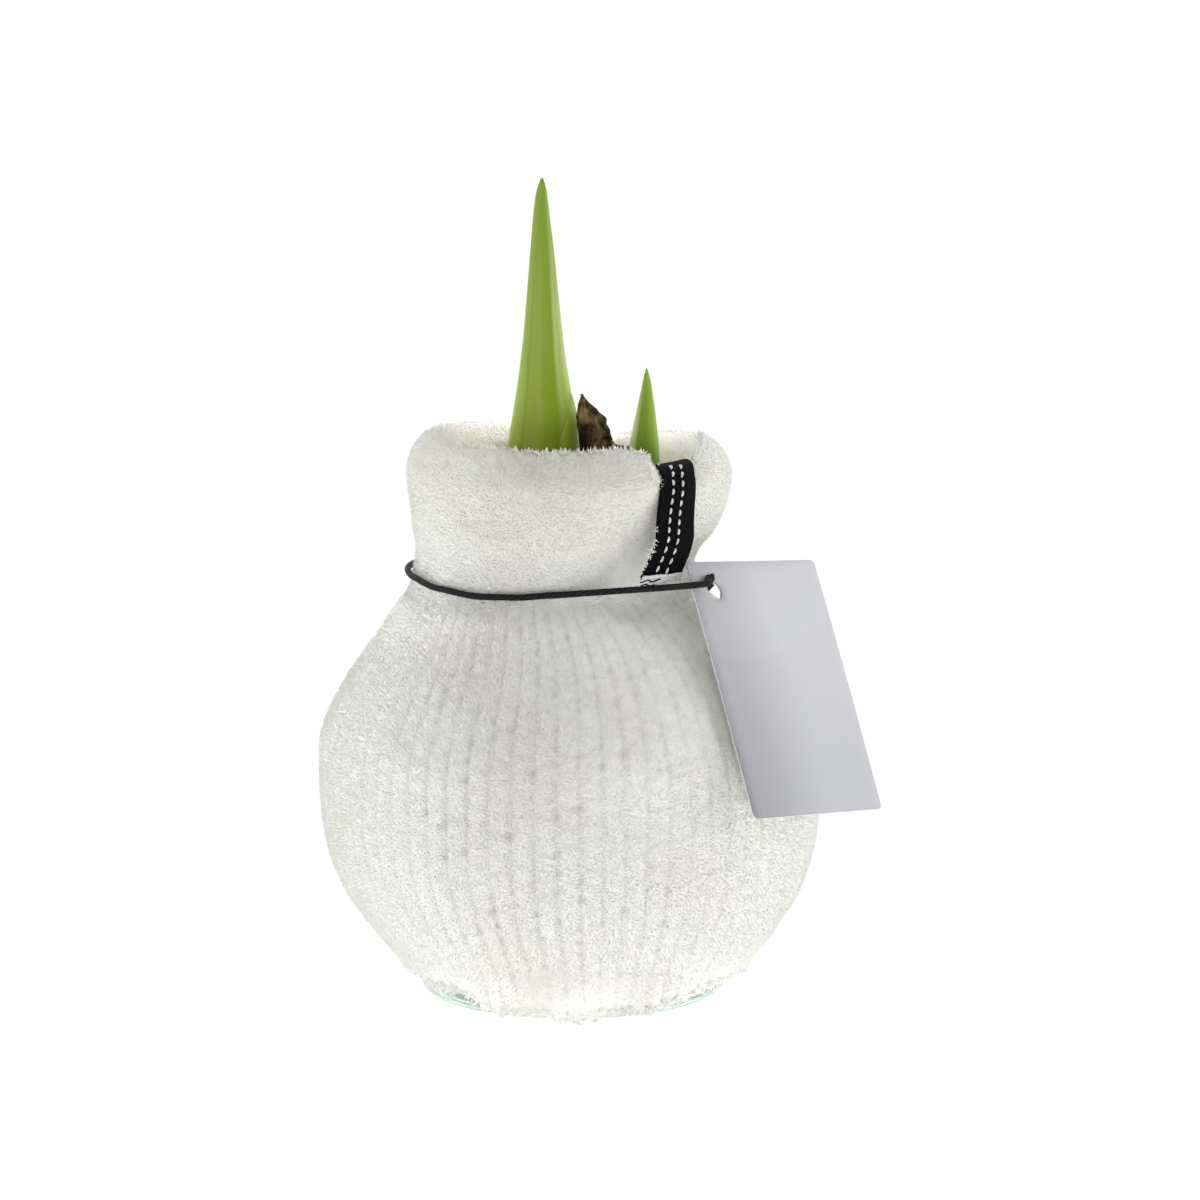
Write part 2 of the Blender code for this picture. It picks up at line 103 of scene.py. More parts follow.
def evenly(curve, spacing):
    """The curve's points again, at about this spacing along it."""
    lengths = lengths_along(curve)
    count = max(2, round(lengths[-1] / spacing))
    wanted = np.linspace(0.0, lengths[-1], count + 1)
    columns = [np.interp(wanted, lengths, [point[i] for point in curve]) for i in range(3)]
    return [Vector(row) for row in zip(*columns)]


def round_the_mouth(table, azimuth):
    """A smooth value between the table's rows, by azimuth in radians (an array)."""
    degrees = np.array([row[0] for row in table] + [table[0][0] + 360.0])
    values = np.array([row[1] for row in table] + [table[0][1]])
    at = (np.degrees(azimuth) + 180.0) % 360.0 - 180.0
    index = np.clip(np.searchsorted(degrees, at, side="right") - 1, 0, len(degrees) - 2)
    share = ease(at, degrees[index], degrees[index + 1])
    return values[index] * (1 - share) + values[index + 1] * share


def sleeve_shift(height):
    """How far the knit's axis lies from the vase's along X, in millimetres."""
    neck = np.exp(-(((height - WAIST) / NECK_SPAN) ** 2))
    foot = np.exp(-((height / FOOT_SPAN) ** 2))
    return REST_SHIFT + NECK_SHIFT * neck + FOOT_SHIFT * foot


def scatter(*numbers):
    """A fixed value from 0 to 1 for each set of whole numbers, with no pattern to the eye."""
    mixed = sum(np.asarray(n) * k for n, k in zip(numbers, (12.9898, 78.233, 37.719)))
    return np.modf(np.abs(np.sin(mixed) * 43758.5453))[0]


def wander(*axes, seed=0.0):
    """A smooth value from about -1 to 1 that changes along the axes, which are in radians."""
    total = 0.0
    for octave, weight in ((1.0, 0.5), (2.1, 0.3), (4.3, 0.2)):
        wave = 0.0
        for number, axis in enumerate(axes):
            wave = wave + axis * octave * (1.0 + 0.37 * number)
        twist = sum(np.sin(axis * octave * 1.7 + seed + n) for n, axis in enumerate(axes))
        total = total + weight * np.sin(wave + 1.3 * twist + seed * 2.1)
    return total


def ease(value, low, high):
    """0 below low, 1 above high, and smooth between."""
    share = np.clip((value - low) / (high - low), 0.0, 1.0)
    return share * share * (3 - 2 * share)


def hump(value, middle, width):
    """1 at the middle, falling to nothing a few widths away."""
    return np.exp(-(((value - middle) / width) ** 2))


def table_value(table, at):
    """A value from (place, value) rows, in straight lines between them."""
    return np.interp(at, [row[0] for row in table], [row[1] for row in table])


# ---------------------------------------------------------------- mesh helpers
def linked(name, data):
    """A new object with this data, at the origin."""
    made = bpy.data.objects.new(name, data)
    bpy.context.collection.objects.link(made)
    return made


def in_order(bm):
    """Puts the faces in the order of their vertices, so that each run makes the same mesh."""
    bm.verts.index_update()
    count = len(bm.verts)

    def place(face):
        numbers = sorted(vert.index for vert in face.verts)
        return (numbers[0] * count + numbers[1]) * count + numbers[-1]

    bm.faces.sort(key=place)


def mesh_from(bm, name):
    """The bmesh as a new mesh. The bmesh is gone after it."""
    mesh = bpy.data.meshes.new(name)
    in_order(bm)
    bm.to_mesh(mesh)
    bm.free()
    return mesh


def finished(bm, name, material):
    """Makes the bmesh a smooth piece of this material that rides on the part's one body."""
    mesh = mesh_from(bm, name)
    mesh.shade_smooth()
    if material:
        mesh.materials.append(material)
    piece = linked(name, mesh)
    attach(piece, "root")
    return piece


def evaluated_mesh(source):
    """The object's mesh with its modifiers applied. The object is removed."""
    graph = bpy.context.evaluated_depsgraph_get()
    mesh = bpy.data.meshes.new_from_object(source.evaluated_get(graph))
    bpy.data.objects.remove(source)
    return mesh


def faces_out(bm):
    bmesh.ops.recalc_face_normals(bm, faces=bm.faces)


def profile_edges(bm, points, layer=None):
    """A chain of edges through the points, with the length along it kept in the layer."""
    verts, along = [], 0.0
    for number, point in enumerate(points):
        vert = bm.verts.new(point)
        if number:
            along += (vert.co - verts[-1].co).length
        if layer:
            vert[layer] = along
        verts.append(vert)
    return [bm.edges.new(pair) for pair in zip(verts, verts[1:])]


def spun(points, steps, keep_length=False):
    """A bmesh turned about Z from (radius, height) points in millimetres."""
    bm = bmesh.new()
    layer = bm.verts.layers.float.new("along") if keep_length else None
    edges = profile_edges(bm, [(radius * MM, 0.0, height * MM) for radius, height in points], layer)
    geometry = edges + list(bm.verts)
    bmesh.ops.spin(
        bm, geom=geometry, axis=(0, 0, 1), cent=(0, 0, 0), angle=TURN, steps=steps, use_merge=True
    )
    bmesh.ops.remove_doubles(bm, verts=bm.verts, dist=0.002 * MM)
    faces_out(bm)
    return bm


def coordinates(mesh):
    places = np.empty(len(mesh.vertices) * 3)
    mesh.vertices.foreach_get("co", places)
    return places.reshape(-1, 3)


def set_coordinates(mesh, places):
    mesh.vertices.foreach_set("co", places.ravel())
    mesh.update()


def float_attribute(mesh, name, values):
    attribute = mesh.attributes.new(name, "FLOAT", "POINT")
    attribute.data.foreach_set("value", np.asarray(values, np.float32))


def read_attribute(mesh, name):
    values = np.empty(len(mesh.vertices), np.float32)
    mesh.attributes[name].data.foreach_get("value", values)
    return values.astype(float)


def uv_from_values(mesh, across, along):
    """Writes a UV map from two values per vertex. Where a face spans the seam, across is unwrapped."""
    layer = mesh.uv_layers.new(name="UVMap")
    loops = np.empty(len(mesh.loops), np.int32)
    mesh.loops.foreach_get("vertex_index", loops)
    u, v = across[loops], along[loops]
    sizes = np.empty(len(mesh.polygons), np.int32)
    mesh.polygons.foreach_get("loop_total", sizes)
    owner = np.repeat(np.arange(len(sizes)), sizes)
    highest = np.full(len(sizes), -1e9)
    np.maximum.at(highest, owner, u)
    u = np.where(highest[owner] - u > 0.5, u + 1.0, u)
    layer.data.foreach_set("uv", np.stack([u, v], 1).astype(np.float32).ravel())


def new_edge_points(ring, fresh):
    """For each vertex of a ring, the vertex that the last extrusion made from it."""
    others = [[edge.other_vert(vert) for edge in vert.link_edges] for vert in ring]
    return [next(vert for vert in near if vert in fresh) for near in others]


def grown(sections, closed=False):
    """A bmesh extruded ring by ring through sections of equal length, capped or joined end to end."""
    bm = bmesh.new()
    ring = [bm.verts.new(point) for point in sections[0]]
    edges = [bm.edges.new(pair) for pair in zip(ring, ring[1:] + ring[:1])]
    first = list(edges)
    for section in sections[1:]:
        made = bmesh.ops.extrude_edge_only(bm, edges=edges)["geom"]
        fresh = {item for item in made if isinstance(item, bmesh.types.BMVert)}
        ring = new_edge_points(ring, fresh)
        for vert, point in zip(ring, section):
            vert.co = point
        kept = [item for item in made if isinstance(item, bmesh.types.BMEdge)]
        edges = [e for e in kept if e.verts[0] in fresh and e.verts[1] in fresh]
    if closed:
        bmesh.ops.bridge_loops(bm, edges=first + edges)
    else:
        bmesh.ops.edgeloop_fill(bm, edges=first)
        bmesh.ops.edgeloop_fill(bm, edges=edges)
    faces_out(bm)
    return bm


def tube_sections(route, radius, sides, relief=None):
    """Rings round a route, turned as little as possible from one to the next."""
    sections = []
    side = (route[1] - route[0]).normalized().orthogonal().normalized()
    for number, (place, along) in enumerate(zip(route, lengths_along(route))):
        before, after = route[max(number - 1, 0)], route[min(number + 1, len(route) - 1)]
        tangent = (after - before).normalized()
        side = (side - tangent * side.dot(tangent)).normalized()
        up = tangent.cross(side)
        ring = []
        for step in range(sides):
            angle = TURN * step / sides
            r = radius * (1.0 + (relief(angle, along) if relief else 0.0))
            ring.append(place + (side * math.cos(angle) + up * math.sin(angle)) * r)
        sections.append(ring)
    return sections


def tube_uv(mesh, sides, route):
    """A UV map for a grown tube: round it, and along it in metres."""
    places = coordinates(mesh)
    centres = np.array([tuple(point) for point in route])
    nearest = [((centres - place) ** 2).sum(1).argmin() for place in places]
    across = (np.arange(len(places)) % sides) / sides
    uv_from_values(mesh, across, np.array(lengths_along(route))[nearest])


# ---------------------------------------------------------------- shared effects
class Nodes:
    """A node tree, with short ways to add a node and to set or join what goes into it."""

    def __init__(self, tree):
        self.tree = tree

    def node(self, kind, settings=(), **inputs):
        made = self.tree.nodes.new(kind)
        for key, value in dict(settings).items():
            setattr(made, key, value)
        for key, value in inputs.items():
            self.feed(value, made.inputs[key.replace("_", " ")])
        return made

    def feed(self, value, socket):
        if hasattr(value, "is_output"):
            self.tree.links.new(value, socket)
        elif isinstance(value, tuple) and len(value) == 3 and socket.type == "RGBA":
            socket.default_value = (*value, 1.0)
        else:
            socket.default_value = value

    def maths(self, operation, *values, kind="ShaderNodeMath"):
        made = self.node(kind, {"operation": operation})
        for number, value in enumerate(values):
            self.feed(value, made.inputs[number])
        return made.outputs[0]

    def mix(self, factor, first, second, blend="MIX"):
        made = self.node("ShaderNodeMix", {"data_type": "RGBA", "blend_type": blend})
        for number, value in ((0, factor), (6, first), (7, second)):
            self.feed(value, made.inputs[number])
        return made.outputs[2]


def effect_group(name, takes, gives):
    """An empty shader group with these inputs and outputs, and what it is given."""
    group = bpy.data.node_groups.new(name, "ShaderNodeTree")
    for way, sockets in (("INPUT", takes), ("OUTPUT", gives)):
        for label, kind in sockets.items():
            group.interface.new_socket(label, in_out=way, socket_type="NodeSocket" + kind)
    nodes = Nodes(group)
    return nodes, nodes.node("NodeGroupInput").outputs


def lengthwise_grain():
    """Fine lines drawn out along Z, as a mask and as a relief: veins, paper fibres, root ribs."""
    takes = {"Vector": "Vector", "Scale": "Float", "Draw": "Float", "Depth": "Float"}
    group, given = effect_group("lengthwise_grain", takes, {"Mask": "Float", "Normal": "Vector"})
    draw = group.node("ShaderNodeCombineXYZ", X=1.0, Y=1.0, Z=given["Draw"]).outputs["Vector"]
    drawn_out = group.maths("MULTIPLY", given["Vector"], draw, kind="ShaderNodeVectorMath")
    noise = group.node("ShaderNodeTexNoise", Vector=drawn_out, Scale=given["Scale"], Detail=4.0)
    bump = group.node("ShaderNodeBump", Height=noise.outputs["Fac"], Distance=given["Depth"])
    group.node("NodeGroupOutput", Mask=noise.outputs["Fac"], Normal=bump.outputs["Normal"])
    return group.tree


def tone_drift():
    """A slow change between two close colours, as any dyed or grown surface has."""
    takes = {"Vector": "Vector", "Scale": "Float", "First": "Color", "Second": "Color"}
    group, given = effect_group("tone_drift", takes, {"Color": "Color"})
    noise = group.node("ShaderNodeTexNoise", Vector=given["Vector"], Scale=given["Scale"], Detail=2.0)
    spread = group.node("ShaderNodeMapRange", Value=noise.outputs["Fac"], From_Min=0.32, From_Max=0.68)
    tone = group.mix(spread.outputs["Result"], given["First"], given["Second"])
    group.node("NodeGroupOutput", Color=tone)
    return group.tree


def plain_weave():
    """Warp and weft over each other, by the UV map in metres: a mask and a relief."""
    takes = {"Vector": "Vector", "Threads": "Float", "Depth": "Float"}
    group, given = effect_group("plain_weave", takes, {"Mask": "Float", "Normal": "Vector"})
    waves = [
        group.node(
            "ShaderNodeTexWave", {"wave_type": "BANDS", "bands_direction": way},
            Vector=given["Vector"], Scale=given["Threads"], Distortion=0.35,
        ).outputs["Fac"]
        for way in ("X", "Y")
    ]
    both = group.maths("MULTIPLY", *waves)
    bump = group.node("ShaderNodeBump", Height=both, Distance=given["Depth"])
    group.node("NodeGroupOutput", Mask=both, Normal=bump.outputs["Normal"])
    return group.tree


GRAIN = lengthwise_grain()
DRIFT = tone_drift()
WEAVE = plain_weave()


# ---------------------------------------------------------------- materials
class Finish(Nodes):
    """One material's nodes, with short ways to add what these finishes are made of."""

    def __init__(self, name, **fixed):
        self.material = bpy.data.materials.new(name)
        self.material.use_nodes = True
        super().__init__(self.material.node_tree)
        self.shader = self.tree.nodes["Principled BSDF"]
        self.place = self.node("ShaderNodeTexCoord").outputs["Object"]
        self.finish(**fixed)

    def shared(self, group, **inputs):
        return self.node("ShaderNodeGroup", {"node_tree": group}, **inputs).outputs

    def drift(self, scale, first, second):
        return self.shared(DRIFT, Vector=self.place, Scale=scale, First=first, Second=second)["Color"]

    def grain(self, scale, draw, depth):
        return self.shared(GRAIN, Vector=self.place, Scale=scale, Draw=draw, Depth=depth)

    def weave(self, threads, depth):
        return self.shared(WEAVE, Vector=self.uv(), Threads=threads, Depth=depth)

    def noise(self, scale, detail=3.0):
        made = self.node("ShaderNodeTexNoise", Vector=self.place, Scale=scale, Detail=detail)
        return made.outputs["Fac"]

    def uv(self):
        return self.node("ShaderNodeTexCoord").outputs["UV"]

    def axes(self):
        return self.node("ShaderNodeSeparateXYZ", Vector=self.place).outputs

    def attribute(self, name):
        return self.node("ShaderNodeAttribute", {"attribute_name": name}).outputs["Fac"]

    def ramp(self, value, stops, kind="EASE"):
        made = self.node("ShaderNodeValToRGB", Fac=value)
        made.color_ramp.interpolation = kind
        elements = made.color_ramp.elements
        while len(elements) < len(stops):
            elements.new(0.5)
        for element, (place, colour) in zip(elements, stops):
            element.position = place
        for element, (place, colour) in zip(elements, stops):
            shade = (colour,) * 3 if isinstance(colour, (int, float)) else colour
            element.color = (*shade, 1.0)
        return made.outputs["Color"]

    def bump(self, height, distance):
        made = self.node("ShaderNodeBump", Height=height, Distance=distance)
        self.finish(Normal=made.outputs["Normal"])

    def finish(self, **outputs):
        for key, value in outputs.items():
            self.feed(value, self.shader.inputs[key.replace("_", " ")])
        return self.material


def yarn_painted_light(f, tone):
    """The same yarn with painted light and shade by height: paler at the hem and at the neck, a little
    darker low on the belly, and darker and creamier above the waist; and painted light that makes the
    collar's front paler at its two sides.
    """
    parts = f.axes()
    height = f.maths("MULTIPLY", parts["Z"], 5.0)  # in 200 mm, and the places below in 100 mm
    # Painted light and shade by height, as factors on the colour.
    up = [
        (0.03, 1.07), (0.09, 1.0), (0.16, 0.965), (0.27, 0.985), (0.5, 1.0), (0.585, 1.05),
        (0.66, 0.97), (0.72, (0.94, 0.935, 0.905)),
    ]
    # Painted light across the collar's front: paler at its two sides.
    across = [
        (0.08, (1.03, 1.035, 1.045)), (0.3, 0.98), (0.5, 0.96), (0.73, 0.967), (0.85, 1.0),
        (0.95, (1.04, 1.05, 1.08)),
    ]
    shaded_by_height = f.mix(1.0, tone, f.ramp(height, up), "MULTIPLY")
    sides = f.ramp(f.maths("MULTIPLY_ADD", parts["X"], 10.0, 0.5), across)
    near = f.ramp(f.maths("MULTIPLY_ADD", parts["Y"], -10.0, 0.5), [(0.42, 0.0), (0.5, 1.0)])
    on_collar = f.maths("MULTIPLY", near, f.ramp(height, [(0.6, 0.0), (0.68, 1.0)]))
    return f.mix(on_collar, shaded_by_height, sides, "MULTIPLY")


def knit_material():
    """The chenille ground: off-white, soft and matte, with painted shade darkening it down in the
    holes between the wales, and the yarn's painted light and shade.
    """
    f = Finish("chenille_knit", Roughness=0.95, Sheen_Weight=0.2, Sheen_Roughness=0.5)
    tone = yarn_painted_light(f, f.drift(30.0, (0.80, 0.79, 0.73), (0.86, 0.86, 0.82)))
    f.bump(f.noise(1500.0, 2.0), 0.0004)
    # Painted shade in the holes: the holes' mask darkens the colour.
    return f.finish(Base_Color=f.mix(f.attribute("gap"), tone, (0.50, 0.50, 0.45)))


def pile_material():
    """The knit's pile: each fibre with painted shade at its root, a little darker there than at its
    tip, and the yarn's painted light and shade.
    """
    f = Finish("chenille_pile", Roughness=0.9, Sheen_Weight=0.5, Sheen_Roughness=0.35)
    # Painted shade: the roots' colour is darker than the tips'.
    low = f.drift(30.0, (0.80, 0.79, 0.735), (0.85, 0.85, 0.80))
    high = f.drift(30.0, (0.85, 0.85, 0.805), (0.90, 0.90, 0.87))
    return f.finish(Base_Color=yarn_painted_light(f, f.mix(f.attribute("tip"), low, high)))


def glass_material():
    f = Finish("pale_green_glass", Roughness=0.04, Transmission_Weight=0.72, IOR=1.5)
    f.bump(f.noise(60.0, 1.0), 0.0003)
    return f.finish(Base_Color=f.drift(12.0, (0.74, 0.92, 0.82), (0.80, 0.94, 0.86)))


def tape_material(name, threads, depth, low, high, **fixed):
    """A plain woven tape: the ribbon's black and its hem's white."""
    f = Finish(name, Roughness=0.85, **fixed)
    weave = f.weave(threads, depth)
    return f.finish(Base_Color=f.mix(weave["Mask"], low, high), Normal=weave["Normal"])


def grained(name, roughness, scale, draw, depth, stops):
    """A finish with a lengthwise grain, and the colour that the grain gives it."""
    f = Finish(name, Roughness=roughness)
    grain = f.grain(scale, draw, depth)
    f.finish(Normal=grain["Normal"])
    return f, f.ramp(grain["Mask"], stops)


def thread_material():
    """White sewing thread with its twist."""
    stops = [(0.3, (0.38, 0.40, 0.41)), (0.7, (0.64, 0.66, 0.67))]
    f, colour = grained("white_thread", 0.6, 2600.0, 0.6, 0.00006, stops)
    return f.finish(Base_Color=colour, Sheen_Weight=0.3)


def root_material():
    stops = [(0.3, (0.42, 0.33, 0.2)), (0.7, (0.72, 0.65, 0.48))]
    f, colour = grained("fleshy_root", 0.65, 500.0, 0.2, 0.0003, stops)
    return f.finish(Base_Color=colour)


def bulb_material():
    """The bulb's skin: brown paper over cream flesh, streaked from the base to the neck."""
    stops = [(0.3, (0.06, 0.03, 0.012)), (0.5, (0.2, 0.12, 0.05)), (0.75, (0.4, 0.29, 0.15))]
    f, brown = grained("bulb_skin", 0.6, 260.0, 0.1, 0.0005, stops)
    patch = f.ramp(f.noise(70.0), [(0.54, 0.0), (0.68, 0.6)])
    return f.finish(Base_Color=f.mix(patch, brown, (0.58, 0.57, 0.32)))


def braid_material():
    """Black elastic in a fine round braid, by the cord's UV map."""
    f = Finish("black_braid", Roughness=0.7, Specular_IOR_Level=0.15)
    turned = f.node("ShaderNodeMapping", Vector=f.uv(), Scale=(6.0, 520.0, 1.0))
    wave = f.node(
        "ShaderNodeTexWave", {"wave_type": "BANDS", "bands_direction": "DIAGONAL"},
        Vector=turned.outputs[0], Scale=0.5,
    ).outputs["Fac"]
    f.bump(wave, 0.00012)
    return f.finish(Base_Color=f.mix(wave, (0.003, 0.003, 0.004), (0.016, 0.016, 0.019)))


def card_material():
    """Silver-grey coated card, satin, with painted light that makes it paler up by its hole and
    towards its right, and painted shade that darkens it along one side.
    """
    f = Finish("silver_card", Metallic=0.15, Specular_IOR_Level=0.3)
    low = f.drift(14.0, (0.212, 0.215, 0.230), (0.230, 0.233, 0.248))
    high = f.drift(14.0, (0.362, 0.366, 0.383), (0.382, 0.386, 0.404))
    # Painted light: the 'light' attribute mixes towards the paler card.
    tone = f.mix(f.attribute("light"), low, high)
    grain = f.grain(1800.0, 0.15, 0.00002)
    # Painted shade along the card's left side, from the 'shade' attribute.
    face = f.mix(f.attribute("shade"), tone, (0.17, 0.172, 0.182))
    shaded = f.mix(f.attribute("board"), face, (0.80, 0.80, 0.80))
    return f.finish(
        Base_Color=f.mix(f.maths("MULTIPLY", grain["Mask"], 0.15), shaded, (0.48, 0.485, 0.51)),
        Roughness=f.ramp(grain["Mask"], [(0.3, 0.38), (0.7, 0.46)]),
        Normal=grain["Normal"],
    )


def leaf_material(name, stops, foot, tip):
    """A young leaf in lengthwise bands, from its left margin to its right, with fine veins, and
    painted light at its foot; on the main shoot the bands hold a painted shade line and a painted
    highlight.
    """
    f = Finish(name, Roughness=0.5, Specular_IOR_Level=0.16)
    across, rise = f.attribute("across"), f.attribute("rise")
    veins = f.grain(900.0, 0.02, 0.0001)
    bands = f.ramp(across, stops, "LINEAR")
    lined = f.mix(f.maths("MULTIPLY", veins["Mask"], 0.22), bands, (0.13, 0.20, 0.02))
    # The foot's colour brightens and yellows the lower half: painted light against the shade down in
    # the mouth, and a yellower tint.
    low = f.ramp(rise, [(0.0, 0.9), (0.16, 0.8), (0.5, 0.0)])
    high = f.ramp(rise, [(0.45, 0.0), (0.95, 0.8)])
    # The pale bands at the right margin fade into the one before them at the leaf's foot; on the main
    # shoot the pale band there is a painted highlight.
    right = f.ramp(across, [(0.68, 0.0), (0.78, 0.8)], "LINEAR")
    fade = f.maths("MULTIPLY", right, f.ramp(rise, [(0.12, 1.0), (0.42, 0.0)]))
    plain = f.mix(fade, lined, stops[-4][1])
    shade = f.mix(high, f.mix(low, plain, foot, "MULTIPLY"), tip)
    return f.finish(Base_Color=shade, Normal=veins["Normal"])


def scale_material():
    """Dry papery scales: tan ridges and dark folds along their grain, and painted shade in the hollow
    low on the left, beside the shoot.
    """
    f = Finish("dry_papery_scale", Roughness=0.7, Specular_IOR_Level=0.15)
    grain = f.grain(420.0, 0.45, 0.0006)
    ridges = [(0.3, (0.012, 0.007, 0.002)), (0.54, (0.070, 0.050, 0.015)), (0.78, (0.40, 0.31, 0.15))]
    patch = f.ramp(f.noise(170.0), [(0.47, 0.0), (0.7, 0.7)])
    tone = f.mix(patch, f.ramp(grain["Mask"], ridges), (0.36, 0.28, 0.11))
    rust = f.ramp(f.noise(95.0), [(0.52, 0.0), (0.7, 0.4)])
    rusty = f.mix(rust, tone, (0.09, 0.045, 0.018))
    # Painted shade in the hollow between the scale and the shoot.
    hollow_shaded = f.mix(f.attribute("hollow_shade"), rusty, (0.010, 0.007, 0.002))
    return f.finish(Base_Color=hollow_shaded, Normal=grain["Normal"])


PILE = pile_material()
BRAID = braid_material()
DRY_SCALE = scale_material()


# ---------------------------------------------------------------- the knitted sleeve
PATH = evenly(smooth_outline(SLEEVE_OUTLINE, 8), ROW)
PATH_ALONG = np.array(lengths_along(PATH))
PATH_RADIUS = np.array([point.x for point in PATH])
PATH_HEIGHT = np.array([point.y for point in PATH])
CREST = PATH_HEIGHT.argmax()
CREST_ALONG = PATH_ALONG[CREST]
WAIST_ALONG = PATH_ALONG[np.abs(PATH_HEIGHT - WAIST)[:CREST].argmin()]
WORN_AZIMUTH = -1.95  # the middle of the belly's stretch with the widest holes
SECTOR_SLOPE = 0.577  # parts the belly's front third from the other two


def from_middle(value):
    """How far each value lies from the middle of its whole step, from 0 to 1."""
    return np.abs(np.modf(value - np.floor(value))[0] - 0.5) * 2


def dome(value):
    """The height of a half circle at the value, which is 0 at its middle and 1 at its edge."""
    return np.sqrt(np.clip(1.0 - value**2, 0.0, 1.0))


def knit_relief(azimuth, along):
    """How far the knit stands out from its outline, and how deep its holes are, by place."""
    belly = 1.0 - ease(along, WAIST_ALONG - 14.0, WAIST_ALONG + 4.0)
    wale = azimuth / TURN * WALES + 0.06 * wander(azimuth * 5, along / 30, seed=1.7)
    uneven = wander(azimuth * 7, along / 11, seed=4.1)
    rib = dome(from_middle(wale))
    stitch = dome(from_middle(along / COURSE + 0.5 * (np.floor(wale) % 2) + 0.25 * uneven))
    # The holes lie on the borders between wales, every second border half a course higher.
    border = np.round(wale)
    shared = along / COURSE + 0.5 * (border % 2) + 0.18 * uneven
    near_border = np.clip(1.0 - np.abs(wale - border) / 0.2, 0.0, 1.0)
    near_joint = np.clip(1.0 - from_middle(shared) / 0.62, 0.0, 1.0)
    openness = 0.5 + 0.5 * wander(azimuth * 2, along / 30, seed=2.4)
    strength = scatter(border, np.floor(shared)) * (0.45 + 0.75 * openness)
    gap = np.sqrt(near_border * near_joint) * ease(strength, 0.25, 0.85)
    worn = hump(azimuth, WORN_AZIMUTH, 0.5) * ease(along, 8.0, 30.0) * (1.0 - ease(along, 70.0, 95.0))
    line = near_border * (0.1 + 0.34 * openness * worn)
    gap = np.maximum(gap * (0.42 + 0.6 * worn), line) * belly
    relief = (0.12 + 0.33 * belly) * (rib - 1.0) + (0.08 + 0.26 * belly) * (stitch - 1.0) * rib
    relief = relief + 0.4 * wander(azimuth * 3, along / 26, seed=0.4) - 0.7 * gap
    pleat = 0.10 * np.sin(azimuth * 23 + 1.4 * np.sin(azimuth * 5))
    return relief + hump(along, WAIST_ALONG, 9.0) * pleat, gap


def dress_sleeve(mesh):
    """Moves the turned tube's points to the knit's real shape, and leaves its attributes on it."""
    places = coordinates(mesh) / MM
    azimuth = np.arctan2(places[:, 1], places[:, 0])
    along = read_attribute(mesh, "along") / MM
    slopes = (np.gradient(PATH_RADIUS, PATH_ALONG), np.gradient(PATH_HEIGHT, PATH_ALONG))
    radius, height, slope_r, slope_z = (
        np.interp(along, PATH_ALONG, values) for values in (PATH_RADIUS, PATH_HEIGHT, *slopes)
    )
    steep = np.hypot(slope_r, slope_z)
    relief, gap = knit_relief(azimuth, along)
    radius = radius + relief * slope_z / steep
    height = height - relief * slope_r / steep
    lip = ease(along, CREST_ALONG - 22.0, CREST_ALONG - 2.0)
    height = height + round_the_mouth(RIM_LIFTS, azimuth) * lip
    hem = 1.0 - ease(along, 0.0, 14.0)
    scallop = 1.1 * np.abs(np.sin(azimuth * WALES / 2.5)) - 0.5 + 0.5 * np.sin(azimuth * 13)
    height = height + hem * (round_the_mouth(HEM_LIFTS, azimuth) + scallop)
    x = radius * np.cos(azimuth) + sleeve_shift(height)
    y = radius * np.sin(azimuth)
    set_coordinates(mesh, np.stack([x, y, height], 1) * MM)
    # The holes' mask, which the knit's colour also uses to paint shade into them.
    float_attribute(mesh, "gap", np.clip(gap * 1.25, 0.0, 1.0))
    # The pile is thin in the holes and past the crest at the back, and none lies under the ribbon.
    pile = np.clip(1.0 - 0.95 * gap, 0.0, 1.0)
    beyond = ease(np.sin(azimuth), -0.35, 0.15) * ease(along, CREST_ALONG - 4.0, CREST_ALONG - 2.0)
    pile = pile * (1.0 - 0.5 * beyond)
    under = np.radians(table_value(RIBBON_COURSE, height))
    covered = np.abs(azimuth - under) * radius < RIBBON_WIDTH / 2 - 1.2
    on_outside = (along > WAIST_ALONG) & (along < CREST_ALONG - 1.0)
    float_attribute(mesh, "pile", np.where(covered & on_outside, 0.0, pile))
    uv_from_values(mesh, azimuth / TURN + 0.5, along / 400.0)


def sleeve_part(name, start, end, steps, material):
    """The stretch of the sleeve between two lengths along it, as one piece."""
    inside = (PATH_ALONG >= start - 0.01) & (PATH_ALONG <= end + 0.01)
    bm = spun(zip(PATH_RADIUS[inside], PATH_HEIGHT[inside]), steps, keep_length=True)
    layer = bm.verts.layers.float["along"]
    for vert in bm.verts:
        vert[layer] += PATH_ALONG[inside][0] * MM
    piece = finished(bm, name, material)
    dress_sleeve(piece.data)
    return piece


